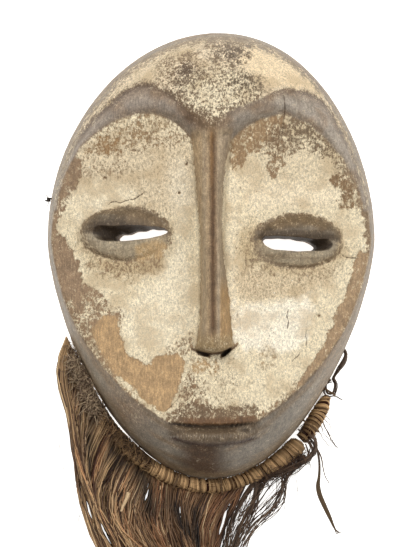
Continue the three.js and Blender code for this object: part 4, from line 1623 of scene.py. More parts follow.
    def lay_forehead(self, look: Surface, points: Array, fore: Array) -> None:
        """Lays the thin mottled clay of the forehead, and its stains.

        Args:
            look: The look to lay it on.
            points: The points.
            fore: How much each point is forehead.
        """
        x, y, _ = points.T
        look.lay(fore, cover=0.72, wood=(150, 128, 100), clay=(223, 205, 178), speckle=0.75)
        for area in FOREHEAD_AREAS:
            look.lay_area(area, fore * area.weight(points, self.grain))
        past = FACE.beyond(x, y) - FACE.bare_band(x, y) - 1.5 * self.grain.layered(points, 5.0)
        near = bell(past, 3.0) * smooth(28, 48, y) * mix(0.6, 0.18, smooth(0, 16, x))
        look.lay(fore * near, cover=0.34, speckle=0.9, wood=(128, 106, 84))
        inward = edge_distance(x, y) + 1.6 * self.grain.layered(points, 6.0)
        rim = fore * smooth(7.5, 1.5, inward) * smooth(74, 100, y)
        look.lay(rim * 0.9, cover=0.2, speckle=0.6, wood=(160, 141, 114))
        look.lay(fore * smooth(36, 14, y) * 0.9, cover=0.12, speckle=0.6, wood=(134, 114, 91))

    def lay_jaw(self, look: Surface, points: Array, jaw: Array, out: Array) -> None:
        """Lays the bare wall below the eyes: grey, lighter in streaks that are partly painted highlight,
        browner in streaks and at its edges, greyer and darker towards the chin with painted shade, and dark
        at the chin.

        Args:
            look: The look to lay it on.
            points: The points.
            jaw: How much each point is jaw.
            out: How far the points lie outside the face.
        """
        x, y, z = points.T
        inward = edge_distance(x, y)
        round_jaw = np.column_stack([100 * np.arctan2(x, OUTLINE.widest - y), out, 0.4 * z])
        streak = self.grain.layered(round_jaw, (24, 3.0, 8), 3)
        low = smooth(-40, -85, y)
        left = smooth(8, -20, x)
        look.lay(jaw, cover=0.06, wood=(150, 136, 117), speckle=0.3)
        look.lay(jaw * smooth(-0.05, 0.4, streak) * 0.85, wood=(140, 114, 84))
        # lighter grey streaks: grey wood, partly painted highlight
        look.lay(jaw * smooth(-0.1, -0.5, streak) * 0.6, wood=(158, 148, 134))
        # greyer towards the chin, and darker as painted shade on the wall that faces away from the light
        look.lay(jaw * low * mix(0.7, 0.9, 1 - left), wood=(128, 119, 107))
        look.lay(jaw * low * smooth(0.05, 0.4, streak) * 0.6, wood=(124, 102, 76))
        look.lay(jaw * left * low * smooth(5, 1, inward) * 0.8, wood=(142, 116, 82))
        look.lay(jaw * bell(out - 0.5, 0.9) * mix(0.75, 0.3, left), wood=(104, 84, 64), cover=0.0)
        patch = bell((x + 44) / 14, 1.0) * bell((y + 76) / 12, 1.0)
        look.lay(jaw * patch * 0.6, cover=0.16, speckle=0.7, wood=(132, 102, 72))
        stain = smooth(17, 3, np.abs(x + 4 + 3 * streak)) * smooth(-86, -93, y)
        look.lay(jaw * stain, wood=(78, 56, 36))
        look.lay(jaw * smooth(3.2, 0.8, inward) * smooth(-85, -98, y) * 0.45, wood=(110, 84, 56))
        flecks = smooth(0.6, 0.75, self.grain.at(points + 3, 1.2))
        look.lay(jaw * low * flecks * 0.4, cover=0.5, clay=(176, 164, 142))

    def lay_wall(self, look: Surface, points: Array, normals: Array) -> None:
        """Lays the handled brown side wall, with worn clay only near its upper edge at the crown.

        Args:
            look: The look to lay it on.
            points: The points.
            normals: The directions that the surface faces.
        """
        x, y, z = points.T
        steep = smooth(0.45, 0.18, normals[:, 2]) * smooth(16, 6, edge_distance(x, y))
        streak = self.grain.layered(points, (26, 26, 4.5), 3)
        look.lay(steep, cover=0.06, speckle=0.5, wood=(130, 111, 88))
        look.lay(steep * smooth(-0.05, 0.4, streak) * 0.8, wood=(117, 94, 70))
        look.lay(steep * smooth(-0.05, -0.45, streak) * 0.7, wood=(136, 125, 111))
        worn = steep * smooth(8, 32, z + 8 * streak) * smooth(0, 40, y)
        look.lay(worn, cover=0.52, speckle=1.0, clay=(208, 191, 162))

    def lay_brow(self, look: Surface, points: Array, brow: Array, out: Array, band: Array) -> None:
        """Bares the brow: grey, with a dark line along its upper edge, a painted highlight along the band's
        middle, painted shadow under the forehead's point above the nose, and a brown middle.

        Args:
            look: The look to lay it on.
            points: The points.
            brow: How much each point is brow.
            out: How far the points lie outside the face.
            band: The bare band's width there.
        """
        x, y, _ = points.T
        tone = self.grain.layered(points, 9.0, 3)
        right = smooth(-2, 12, x)
        look.lay(brow, cover=0.1, wood=(146, 131, 116), speckle=0.5, clay=(196, 182, 160))
        look.lay(brow * right, wood=(160, 148, 134))
        look.lay(brow * smooth(-0.05, 0.4, tone) * 0.8, wood=(140, 115, 89))
        share = out / np.maximum(band, 2.0)
        look.lay(brow * smooth(0.55, 0.95, share) * 0.6, wood=(134, 112, 90), speckle=0.8, cover=0.2)
        # painted highlight along the middle of the bare band
        look.lay(brow * bell(share - 0.4, 0.25) * 0.4, wood=(168, 158, 148))
        strength = FACE.groove_share(x, y)
        edge = bell(out - band + 0.3 + 0.7 * tone, 1.3) * (y > 8) * smooth(1.5, 5, band)
        look.lay(edge * strength * 0.8, wood=(92, 73, 57), cover=0.08)
        # painted shadow in dark brown under the forehead's point above the nose's root
        knot_and_shadow = bell(np.hypot(x + 10.5, y - 68), 4.5) + bell(np.hypot(x + 3, y - 64), 5.5) * 0.7
        look.lay(np.clip(knot_and_shadow, 0, 1) * 0.9, wood=(104, 82, 62), cover=0.0, speckle=0.4)
        look.lay(bell(np.hypot(x - 1, (y - 60) / 1.3), 6.0) * 0.8, wood=(128, 105, 80), cover=0.05)

    def lay_nose(self, look: Surface, points: Array) -> None:
        """Bares the nose: brown on the viewer's left, dark in the groove, grey on the right, with painted
        shade in a line under its lower edge and in the nostrils.

        Args:
            look: The look to lay it on.
            points: The points.
        """
        x, y, _ = points.T
        across = self.nose.share(x, y) + 0.06 * self.grain.layered(points, 3.0)
        reach = np.where(across < 0, 0.86, mix(0.76, 0.98, smooth(12, -25, y)))
        bare = smooth(reach + 0.09, reach - 0.07, np.abs(across))
        bare = bare * smooth(64, 57, y) * smooth(-49.5, -47.5, y)
        streak = self.grain.layered(points, (1.3, 14, 8), 3)
        look.lay(bare, cover=0.08, wood=(178, 153, 120), speckle=0.5)
        look.lay(bare * smooth(0.1, 0.5, streak) * 0.6, wood=(136, 106, 74))
        right = smooth(2.2, 3.4, x) * bare
        look.lay(right, wood=(174, 155, 130), speckle=0.3)
        look.lay(right * smooth(4.6, 6.0, x) * 0.6, wood=(142, 125, 105))
        strip = right * smooth(-8, -20, y) * smooth(3.8, 5.2, x)
        look.lay(strip, wood=(177, 143, 100), cover=0.1)
        dark = bare * bell(x - self.nose.groove[0], 1.95) * mix(0.35, 1.0, smooth(-44, -34, y))
        look.lay(dark, wood=(92, 67, 44), cover=-0.2, speckle=0.0)
        look.lay(bare * bell(x - 0.2, 0.8) * smooth(20, 50, y) * 0.7, wood=(140, 104, 62))
        look.lay(bare * bell(x + 3.4, 1.1) * 0.4, wood=(150, 138, 122))
        tip = bare * smooth(-36, -43, y)
        look.lay(tip * 0.8, wood=(158, 134, 97), cover=0.27, speckle=0.7)
        below = self.nose.lower_edge(x) - y
        near = smooth(12.5, 10.5, np.abs(x - 1.5))
        look.lay(near * bell(below + 0.5, 0.7) * 0.7, wood=(186, 160, 124), cover=0.3)
        # painted shade in a thin line under the nose's lower edge
        look.lay(near * bell(below - 0.5, 0.75), wood=(78, 58, 40), cover=-0.2)
        # painted shade in the nostrils
        hole = smooth(1.25, 0.75, self.in_nostril(x, y))
        look.lay(hole, cover=-0.3, wood=(48, 37, 27), speckle=0.2)

    def lay_eyes(self, look: Surface, points: Array) -> None:
        """Bares the lids, darker above the slits, and paints shade just over the slits, on the slits' walls
        and in the groove round each mound, with a painted highlight along the lower lids' edges.

        Args:
            look: The look to lay it on.
            points: The points.
        """
        x, y, z = points.T
        streak = self.grain.layered(points, (12, 1.3, 6), 3)
        for eye in self.eyes:
            reach = eye.reach(x, y) + 0.06 * self.grain.layered(points, 7.0)
            reach = reach + 0.03 * self.grain.at(points, 1.6)
            below = smooth(2, -6, y - eye.y)
            halo = smooth(1.5, 1.0, reach)
            look.lay(halo * mix(0.08, 0.6, below), clay=(192, 172, 138), speckle=0.85, cover=0.72)
            mound = smooth(1.12, 0.8, reach)
            look.lay(mound, cover=0.24, wood=(170, 155, 131), speckle=0.4, clay=(202, 184, 154))
            upper = smooth(-1.0, 1.5, y - eye.y)
            look.lay(mound * upper, cover=0.08, wood=(106, 91, 72))
            look.lay(mound * smooth(0.0, 0.45, streak) * 0.6, wood=(116, 98, 76))
            look.lay(mound * smooth(-0.05, -0.5, streak) * 0.5, wood=(160, 148, 130))
            gap = eye.in_slit(x, y)
            # painted shade under the upper lid, just above the slit
            look.lay(mound * upper * smooth(7.4, 0.8, gap) * 0.92, wood=(76, 62, 47), cover=0.0)
            # painted highlight along the lower lid's edge, beside the slit
            look.lay(mound * (1 - upper) * bell(gap - 0.7, 0.7) * 0.35, wood=(172, 160, 140))
            # painted shade in the groove round the mound's foot, stronger below the eye
            crease = bell(reach - 0.94, 0.07) * (0.35 + 0.4 * below)
            look.lay(crease, wood=(118, 98, 74), cover=0.22)
            # painted shade on the slit's walls, down inside the cut
            deep = smooth(0.5, -0.4, gap) * (z < 41.5)
            look.lay(deep * smooth(41, 37.5, z), cover=-0.2, wood=(56, 45, 35), speckle=0.2)
        for part in LID_AREAS:
            look.lay_area(part, part.weight(points, self.grain))

    def lay_mouth(self, look: Surface, points: Array) -> None:
        """Darkens the lower lip, and paints shade along the slit, in the mouth's recess and in a line under
        the lower lip.

        Args:
            look: The look to lay it on.
            points: The points.
        """
        x, y, _ = points.T
        slit = self.mouth.slit(x)
        wide = smooth(24, 19, np.abs(x - 0.8))
        above = wide * smooth(-0.2, 0.5, y - slit) * smooth(4.6, 2.6, y - slit) * smooth(-18, -10, x)
        look.lay(above, cover=0.04, wood=(110, 80, 53), speckle=0.5)
        lx, ly, half_x, half_y, _ = self.mouth.lip
        lip = np.hypot((x - lx) / half_x, (y - ly) / half_y)
        lower = smooth(1.08, 0.9, lip)
        below = np.maximum(lower, wide * (y < slit) * (y > ly))
        look.lay(below, wood=(106, 89, 70), cover=0.08, speckle=0.5)
        ticks = smooth(0.2, 0.9, np.sin(FULL_TURN * x / 1.5 + 2 * self.grain.at(points, 2.0)))
        look.lay(lower * ticks * bell(y - ly + 0.2, 1.1) * 0.5, wood=(158, 146, 130))
        off = np.abs(x - 0.6)
        # painted shade along the slit, under the upper lip's edge
        line = bell(y - slit + 0.35, 0.8) * wide * mix(0.45, 1.0, smooth(5, 13, off))
        look.lay(line, cover=-0.2, wood=(46, 34, 25))
        # painted shade in the mouth's recess, strongest towards its ends
        deep = smooth(1.4, 3.2, self.mouth.recess(x, y)) * (0.35 + 0.65 * smooth(7, 15, off))
        look.lay(deep, cover=-0.2, wood=(50, 38, 28))
        # painted shadow in a thin line under the lower lip
        look.lay(bell(lip - 1.06, 0.17) * (y < ly - 0.6), wood=(62, 40, 28), cover=-0.1)
        corner = bell(np.hypot((x - 19.5) / 4.5, (y + 83.5) / 3), 1.0)
        look.lay(corner * 0.7, wood=(92, 76, 58), cover=0.0)
        knot_and_shadow = np.hypot((x - 16.6) / 3.6, (y + 85.6) / 2.0)
        look.lay(bell(knot_and_shadow - 0.9, 0.25) * 0.4, wood=(150, 138, 120))
        look.lay(smooth(0.85, 0.4, knot_and_shadow) * 0.6, wood=(72, 62, 52))

    def cutters(self) -> list[Draft]:
        """The shapes of the eye slits, the tie holes with their rim notches, and the temple holes.

        Returns:
            The shapes.
        """
        cuts = [eye.cutter(self.grain) for eye in self.eyes]
        radius, level = self.tie_hole
        for angle in self.tie_angles:
            cuts.append(self.wall_bore(angle, radius, level))
            cuts.append(self.rim_notch(angle))
        cuts += [self.wall_bore(angle, *self.temple_hole) for angle in self.temple_angles]
        return cuts

    def wall_bore(self, angle: float, radius: float, level: float) -> Draft:
        """A round bore through the wall, square to the outline.

        Args:
            angle: The direction round the outline, in degrees.
            radius: The bore's radius.
            level: The height of its middle.

        Returns:
            The cutting shape.
        """
        phi = np.full(2, math.radians(angle))
        ends = OUTLINE.beside(phi, np.array([-18.0, 4.0]), level)
        return sweep(ends[None], np.full((1, 2), radius), 14)

    def rim_notch(self, angle: float) -> Draft:
        """A shallow notch across the back rim.

        Args:
            angle: The direction round the outline, in degrees.

        Returns:
            The cutting shape.
        """
        width, depth = self.tie_notch
        phi = np.full(2, math.radians(angle))
        ends = OUTLINE.beside(phi, np.array([-13.0, 4.0]), 0.0)
        return sweep(ends[None], np.full((1, 2), width / 2), 12, flat=2 * depth / width)

    def build(self, material: Material) -> Piece:
        """Makes the mask, cuts its holes and colours it.

        Args:
            material: The chalked wood.

        Returns:
            The finished piece.
        """
        draft = self.draft()
        self.relief(draft)
        piece = draft.make("carved_mask", material, Slot.WOOD)
        cutter = joined(self.cutters()).make("hole_cutter", material, Slot.WOOD)
        cut = piece.modifiers.new("holes", "BOOLEAN")
        cut.operation, cut.object, cut.solver = "DIFFERENCE", cutter, "MANIFOLD"
        cut_mesh = bpy.data.meshes.new_from_object(piece.evaluated_get(bpy.context.evaluated_depsgraph_get()))
        piece.modifiers.clear()
        piece.data = cut_mesh
        bpy.data.objects.remove(cutter)
        count = len(cut_mesh.vertices)
        points = np.zeros(count * 3, np.float32)
        cut_mesh.vertices.foreach_get("co", points)
        points = points.reshape(-1, 3) / MM - OFFSET
        normals = np.zeros(count * 3, np.float32)
        cut_mesh.vertex_normals.foreach_get("vector", normals)
        look = self.surface(points.astype(float), normals.reshape(-1, 3))
        for name, values in vars(look).items():
            paint(piece, name, values)
        beside, share = beside_cracks(points)
        paint(piece, "beside_crack", beside)
        paint(piece, "crack", share * (points[:, 2] > 20))
        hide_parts("wooden_mask")
        return piece


@dataclass(frozen=True)
class RopeRun:
    """A run of rope beside the jaw, by stations of angle, offset from the wood and radius."""

    stations: tuple[tuple[float, float, float], ...]
    level: float = 5.0
    samples: int = 400

    def at(self, angles: Array) -> tuple[Array, Array]:
        """The rope's middle and radius at angles round the outline.

        Args:
            angles: The directions round the outline, in degrees.

        Returns:
            The middles and the radii.
        """
        table = np.array(self.stations)
        offset, radius = (through(table[:, 0], table[:, k], angles) for k in (1, 2))
        return OUTLINE.beside(np.radians(angles), offset, self.level), radius

    def even(self, spacing: float) -> tuple[Array, Array]:
        """Evenly spaced middles along the rope, and the radius at each.

        Args:
            spacing: The distance between them.

        Returns:
            The middles and the radii.
        """
        angles = np.linspace(self.stations[0][0], self.stations[-1][0], self.samples)
        middles, radii = self.at(angles)
        knots = np.r_[0, np.cumsum(np.linalg.norm(np.diff(middles, axis=0), axis=1))]
        count = max(4, round(knots[-1] / spacing))
        even = np.linspace(0, knots[-1], count)
        return through(knots, middles, even), np.interp(even, knots, radii)


JAW_ROPE = RopeRun(((205, 4, 2), (212, 4.2, 2.6), (226, 4.8, 2.8), (241, 4.4, 3.2), (270, 3.6, 2.9),
                    (288, 3.7, 3), (297, 4.8, 3.8), (302.5, 5.5, 4)))
BOUND_JAW = RopeRun(((209, 2.4, 1.8), (214, 3.2, 2.7), (226, 3.5, 2.9), (241, 3.9, 3.3), (247, 3.6, 3.3),
                     (270, 3.2, 3.1), (288, 3.4, 3.3), (297, 4.4, 4), (302.5, 5.1, 4.3)))
ROPE_END = RopeRun(((306.3, 4.8, 2.9), (312, 4.8, 3.3), (318, 4, 2.8), (322, 2.8, 1.7), (331, 1.7, 1.1)))
BOUND_END = RopeRun(((306.3, 4.6, 2.8), (308, 4.9, 3.5), (313, 4.4, 3.6), (317.5, 3.6, 2.9), (319.5, 3, 2.1)))


def tones(draw: np.random.Generator, count: int, dark: Colour, light: Colour, bias: float = 1.0) -> Array:
    """Random tones between a dark and a light one."""
    share = draw.random(count) ** bias
    return mix(np.array(dark), np.array(light), share[:, None])


@dataclass
class BoundRope:
    """A bundle of fibre, wound round and round with a thin strip."""

    name: str
    run: RopeRun
    nodes: tuple[str, ...]
    spacing: float = 0.64  # between turns
    tilt: float = 0.9  # how far a turn leans along the rope
    around: int = 22  # points in a turn
    strip: float = 0.4  # the strip's radius
    sides: int = 5  # of the strip's section
    hairiness: float = 2.4  # short fibres to a point of the rope's middle
    hair: float = 0.13  # a short fibre's radius
    hair_steps: int = 6
    hair_sides: int = 3
    stub: float = 5.0  # of the rounded end past its stations
    seed: int = 3
    rib: tuple[float, float] = (2.3, 0.36)  # between ribs, and how strongly they show
    # the rope's own tone along it, with painted shade towards the left end under the hair
    worn: tuple[float, ...] = (0.42, 0.5, 0.8, 1.0, 1.1, 1.15, 1.15, 1.05, 0.75)  # the tone along it
    dark: Colour = srgb(86, 62, 40)
    light: Colour = srgb(196, 161, 118)

    def build(self, material: Material) -> Piece:
        """Makes the core, its winding and the fuzz on it as one piece.

        Args:
            material: The fibre's finish.

        Returns:
            The finished piece.
        """
        draw = np.random.default_rng(self.seed)
        middles, radii = self.rounded(*self.run.even(ROPE_STEP))
        run = ROPE_STEP * np.arange(len(middles))
        radii = radii * (1.04 + 0.07 * Grain(self.seed).at(np.stack([run, run * 0, run * 0], axis=-1), 6.0))
        core = sweep(middles[None], (radii * 0.84)[None], 20)
        parts = [(core, np.tile(np.array(srgb(70, 50, 32)), (len(core.points), 1)))]
        parts += [self.winding(middles, radii), self.fuzz(draw, middles, radii)]
        piece = joined([draft for draft, _ in parts]).make(self.name, material, Slot.ROPE)
        paint(piece, "tone", np.concatenate([shade for _, shade in parts]))
        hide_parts(*self.nodes)
        return piece

    def rounded(self, middles: Array, radii: Array) -> tuple[Array, Array]:
        """Adds a stub that rounds off the far end.

        Args:
            middles: Points of the rope's middle.
            radii: The rope's radius at each of them.

        Returns:
            The longer lists.
        """
        steps = np.arange(1, int(self.stub / ROPE_STEP) + 1)
        ahead = unit(middles[-1] - middles[-3])
        ends = middles[-1] + ROPE_STEP * steps[:, None] * ahead
        shrunk = radii[-1] * np.sqrt(1 - (steps / (len(steps) + 0.4)) ** 3)
        return np.concatenate([middles, ends]), np.r_[radii, shrunk]

    def winding(self, middles: Array, radii: Array) -> tuple[Draft, Array]:
        """The strip wound round the core, with ridges and dark furrows along it, painted lighter on the
        ridges and darker in the furrows as painted light and shade.

        Args:
            middles: Points of the rope's middle.
            radii: Its radius at each.

        Returns:
            The draft, and a tone for each of its points.
        """
        length = ROPE_STEP * (len(middles) - 1)
        run = np.linspace(0, length, int(length / self.spacing * self.around))
        turn = FULL_TURN * run / self.spacing
        still = run * 0
        band = Grain(self.seed + 1).layered(np.stack([run, still, still], axis=-1), 2.8, 2)
        fine = Grain(self.seed + 2).at(np.stack([run, still, still], axis=-1), 0.5)
        knots = np.linspace(0, length, len(middles))
        place = np.clip(run + self.tilt * np.sin(turn + 0.5 + band), 0, length)
        along = unit(through(knots, np.gradient(middles, axis=0), place))
        side = unit(np.cross(along, [0, 0, 1.0]))
        up = np.cross(side, along)
        rib = np.cos(FULL_TURN * run / self.rib[0] + 3.4 * band) * self.rib[1]
        radius = (np.interp(place, knots, radii) * (0.93 + 0.07 * band + 0.1 * rib))[:, None]
        out = np.cos(turn)[:, None] * side + np.sin(turn)[:, None] * up
        path = through(knots, middles, place) + radius * out
        thick = self.strip * (1 + 0.3 * fine)
        draft = sweep(path[None], thick[None], self.sides, along[None])
        # the rib term paints light on the ridges and shade in the furrows
        share = np.clip(0.48 + 0.6 * band + 0.4 * fine + rib, -0.15, 1)[:, None]
        # painted shade along the rope, darkest at its left end under the hair, over its own tone
        worn = through(np.linspace(0, length, len(self.worn)), np.array(self.worn), run)[:, None]
        shade = mix(np.array(self.dark), np.array(self.light), share) * worn
        return draft, np.repeat(shade, self.sides, axis=0)

    def fuzz(self, draw: np.random.Generator, middles: Array, radii: Array) -> tuple[Draft, Array]:
        """Short broken fibres that lie along the rope and stand off it.

        Args:
            draw: The source of random numbers.
            middles: Points of the rope's middle.
            radii: The rope's radius at each of them.

        Returns:
            The fibres' mesh, and the tone of each of its points.
        """
        count = int(len(middles) * self.hairiness)
        at = draw.integers(1, len(middles) - 1, count)
        along = unit(np.gradient(middles, axis=0))[at]
        side = unit(np.cross(along, [0, 0, 1.0]))
        turn = draw.uniform(0, FULL_TURN, count)[:, None]
        out = np.cos(turn) * side + np.sin(turn) * np.cross(side, along)
        steps = np.linspace(0, 1, self.hair_steps)[None, :, None]
        reach = draw.uniform(0.8, 3.6, count)[:, None, None]
        lie = (along * draw.normal(0, 1, count)[:, None] + 0.3 * out)[:, None]
        start = (middles[at] + out * (radii[at] * 1.02)[:, None])[:, None]
        paths = start + reach * (lie * steps + draw.normal(0, 0.25, (count, 1, 3)) * steps**2)
        paths[..., 2] = np.maximum(paths[..., 2], 0.3)
        paths = keep_off(paths, 0.2)
        thick = np.full((count, self.hair_steps), self.hair) * (1.2 - 0.8 * steps[..., 0])
        draft = sweep(paths, thick, self.hair_sides, (0.1, 0.2, 1.0))
        shade = tones(draw, count, self.dark, self.light)
        return draft, np.repeat(shade, self.hair_steps * self.hair_sides, axis=0)


def keep_off(points: Array, gap: float) -> Array:
    """Moves points that come closer to the wood than a gap straight out from the mask's middle.

    At the left of the jaw the fibre is pressed to the wood, and below that it leaves a slit.

    Args:
        points: The points.
        gap: The least distance to the wood.

    Returns:
        The points, moved where they have to be.
    """
    x, y = points[..., 0], points[..., 1]
    turn = np.degrees(np.arctan2(y - OUTLINE.widest, x)) % 360
    gap = gap + 1.1 * smooth(236, 239, turn) * smooth(247.5, 245, turn)
    gap = gap - 0.8 * smooth(214, 219, turn) * smooth(238, 235, turn)
    far = np.hypot(x, y - OUTLINE.widest)
    share = np.maximum(1.0, (OUTLINE.reach(x, y) + gap) / np.maximum(far, 1e-6))
    moved = points.copy()
    moved[..., 0], moved[..., 1] = x * share, mix(OUTLINE.widest, y, share)
    return moved


@dataclass(frozen=True)
class Parting:
    """A place where the fibres lie apart, along a line."""

    start: Place
    end: Place
    half_width: float

    def spread(self, paths: Array, share: Array) -> Array:
        """Moves whole strands to one side of the line.

        Args:
            paths: For each strand, a row of points.
            share: For each strand, how far it gives way.

        Returns:
            The moved paths.
        """
        run = np.array(self.end) - np.array(self.start)
        length = np.linalg.norm(run)
        along = run / length
        normal = np.array([-along[1], along[0]])
        off = paths[..., :2] - np.array(self.start)
        t, d = off @ along / length, off @ normal
        active = smooth(-0.5, 0.2, t) * smooth(1.5, 0.8, t)
        mean = np.sum(d * active, axis=1) / np.maximum(np.sum(active, axis=1), 1e-6)
        side = np.where(mean < 0, -1.0, 1.0)[:, None]
        own = side * d
        width = self.half_width
        shift = (np.sqrt(own**2 + 4 * width**2) - own) / 2 * active * smooth(-4 * width, -width, own)
        moved = paths.copy()
        moved[..., :2] += (side * shift * share[:, None])[..., None] * normal
        return moved


@dataclass
class Beard:
    """Loose plant fibre that hangs from the rope in locks and tufts."""

    guides: tuple[tuple[Place, ...], ...] = (
        ((-71.2, -40), (-75.2, -52), (-74.8, -61), (-71.8, -72), (-68.6, -87), (-66.2, -98.6), (-65, -105.1),
         (-65.2, -112), (-62.4, -122.4), (-55.4, -143.1), (-43.4, -176.3), (-30.2, -203.9), (-17.3, -230.6)),
        ((-67.4, -48), (-70, -62), (-68, -78.3), (-65, -93.6), (-62.2, -110), (-57.2, -128.8),
         (-48.9, -149.5), (-38.1, -177.7), (-27.2, -203.9), (-16.3, -231.6)),
        ((-58.9, -64.4), (-63.8, -76.3), (-65.8, -89.2), (-64.3, -103), (-59.3, -120.8), (-51.9, -139.6),
         (-43, -158.4), (-33.6, -180.2), (-24.7, -203.9), (-15.3, -232.1)),
        ((-51.5, -78.3), (-56.4, -88.2), (-60.4, -99), (-61.4, -111.9), (-55.9, -127.7), (-46, -146.6),
         (-37.6, -163.4), (-29.2, -183.2), (-22.2, -203.9), (-14.3, -232.6)),
        ((-43, -91.2), (-48.5, -101.1), (-54.4, -112.9), (-55.9, -124.8), (-49, -138.7), (-39.6, -152.5),
         (-31.2, -167.4), (-24.7, -185.1), (-19.8, -203.9), (-13.3, -232.6)),
        ((-35.2, -99.6), (-40.6, -110), (-45.6, -121.4), (-43.1, -134.7), (-34.7, -147.6), (-26.3, -159.5),
         (-20.3, -172.3), (-16.8, -187.1), (-15.3, -204.9), (-12.4, -233.1)),
        ((-27.3, -106), (-29.8, -116.9), (-31.3, -127.8), (-25.8, -140.7), (-18.9, -151.6), (-14.4, -162.4),
         (-12.4, -174.3), (-11.9, -188.1), (-12.4, -204.9), (-11.4, -233.1)),
        ((-17.4, -111.5), (-18.9, -120.9), (-17.9, -130.8), (-13.4, -141.7), (-9.4, -152.5), (-7.9, -163.4),
         (-7.9, -175.3), (-8.9, -189.1), (-10.4, -204.9), (-10.4, -233.1)),
        ((-4, -113.9), (-8, -122.4), (-9.9, -131.3), (-8.9, -141.2), (-6.4, -151.5), (-4.4, -163.4),
         (-4.4, -175.3), (-5.9, -189.1), (-7.9, -204.9), (-9.9, -232.6)),
        ((8.3, -112.5), (1.4, -120.9), (-2.5, -130.8), (-3.5, -141.2), (-2.5, -152), (-1, -163.4),
         (-1.5, -175.3), (-3.5, -189.1), (-5.9, -204.9), (-8.9, -232.1)),
        ((19.2, -109.5), (12.8, -118.9), (6.4, -129.8), (3.4, -141.6), (2.4, -152.5), (1.5, -163.4),
         (0.5, -175.3), (-1, -189.1), (-4, -204.9), (-7.9, -231.6)),
    )
    partings: tuple[Parting, ...] = (
        Parting((-66.4, -109), (-62, -120), 0.5),
        Parting((-61.8, -120), (-57.6, -131), 1.3),
        Parting((-57, -132), (-46.5, -143.5), 1.6),
        Parting((-57.4, -137), (-52, -142.5), 0.8),
        Parting((-33, -112), (-30, -122), 1.0),
        Parting((-16.8, -122), (-12.8, -131.8), 0.8),
        Parting((7.8, -124), (4.4, -138.7), 0.9),
        Parting((-50.4, -113), (-52, -128), 0.5),
    )
    shadows: tuple[tuple[Place, Place, float], ...] = (  # from, to and width
        ((-47, -100), (-32, -105), 3.6),
        ((-36, -102), (-29, -127), 4.4),
        ((-19, -121), (-11, -138), 3.4),
        ((-8, -125), (-6, -148), 1.8),
        ((-67, -58), (-55, -80), 4.0),
        ((-50, -88), (-47, -104), 1.8),
        ((9, -125), (5, -144), 1.9),
        ((-60, -84), (-60, -106), 1.3),
    )
    guide_points: int = 80
    tufts: int = 170
    strands: int = 24  # in a tuft
    sides: int = 3
    steps: int = 19
    radius: tuple[float, float] = (0.2, 0.46)
    thickness: tuple[float, float] = (12.0, 7.0)  # of the mat, at the left and at the right
    over_rope: float = 0.36  # left of this share the fibre hides the rope
    seed: int = 11
    # the painted shade of the lowest tufts
    deep: Colour = srgb(46, 30, 20)
    dark: Colour = srgb(70, 47, 33)
    light: Colour = srgb(182, 149, 110)
    # the tone of the painted highlight on a few strands
    bleached: Colour = srgb(212, 182, 142)

    def along(self, share: Array, down: Array) -> Array:
        """Points of the fall of fibre.

        Args:
            share: Where across the beard, from 0 at the left to 1 at the right.
            down: How far down, from 0 at the root to 1 at the tip.

        Returns:
            The points' x and y.
        """
        lines = np.array([resample(np.array(g), self.guide_points) for g in self.guides])
        across = np.clip(share, 0, 1) * (len(lines) - 1)
        level = np.clip(down, 0, 1) * (self.guide_points - 1)
        i = np.clip(across.astype(int), 0, len(lines) - 2)
        j = np.clip(level.astype(int), 0, self.guide_points - 2)
        u, v = (across - i)[..., None], (level - j)[..., None]
        top = mix(lines[i, j], lines[i + 1, j], u)
        low = mix(lines[i, j + 1], lines[i + 1, j + 1], u)
        return mix(top, low, v)

    def groom(self, draw: np.random.Generator) -> tuple[Array, Array, Array]:
        """The paths, radii and tones of all strands.

        Args:
            draw: The source of random numbers.

        Returns:
            The paths, the radii and the tones.
        """
        tuft = (np.arange(self.tufts) + draw.uniform(-0.1, 1.1, self.tufts)) / self.tufts
        layer = draw.random(self.tufts)
        drift = draw.normal(0, 0.042, self.tufts)
        ids = np.repeat(np.arange(self.tufts), self.strands)
        count = len(ids)
        reach = 1 - 0.42 * draw.random(count) ** 2.4
        down = np.linspace(0, 1, self.steps)[None] * reach[:, None]
        width = draw.uniform(0.006, 0.014, self.tufts)[ids][:, None]
        share = tuft[ids][:, None] + drift[ids][:, None] * smooth(0.05, 0.9, down)
        share = share + draw.normal(0, 1, (count, 1)) * width * mix(1.6, 0.75, smooth(0.0, 0.3, down))
        loner = (draw.random(count) < 0.22)[:, None]
        share = share + loner * draw.normal(0, 0.07, (count, 1)) * smooth(0.05, 0.6, down)
        xy = self.along(share, down)
        phase, beat, swing = draw.uniform(0, FULL_TURN, (3, self.tufts))
        size, pace = (1.2 + 0.6 * np.sin(swing))[ids][:, None], (14 + 5 * np.sin(beat))[ids][:, None]
        wave = size * np.sin(phase[ids][:, None] + pace * down)
        own = draw.uniform(0, FULL_TURN, (count, 1))
        ripple = 0.7 * np.sin(3 * own + 13 * down) + 0.4 * np.sin(own + 31 * down)
        ripple = (ripple + 0.28 * np.sin(2 * own + 53 * down)) * mix(0.4, 1.0, smooth(0.0, 0.1, share))
        wave = wave * smooth(0, 0.15, down) + ripple * smooth(0, 0.1, down)
        xy[..., 0] += wave
        height = np.clip(layer[ids] * 0.85 + 0.15 * draw.random(count) + 0.2 * loner[:, 0], 0, 1.05)[:, None]
        mat = mix(*self.thickness, np.clip(share, 0, 1)) * mix(1.0, 0.35, down**1.5)
        over = smooth(self.over_rope + 0.03, self.over_rope - 0.03, share)
        root = mix(1.2 + 2.2 * height, 5.5 + 5 * height, over)
        z = mix(root, 0.5 + height * mat, smooth(0.01, 0.14, down))
        z = z + 0.3 * np.sin(own * 3 + 23 * down)
        paths = np.concatenate([xy, np.maximum(z, 0.45)[..., None]], axis=-1)
        yielding = mix(0.45, 1.0, smooth(0.05, 0.2, layer[ids]))
        for parting in self.partings:
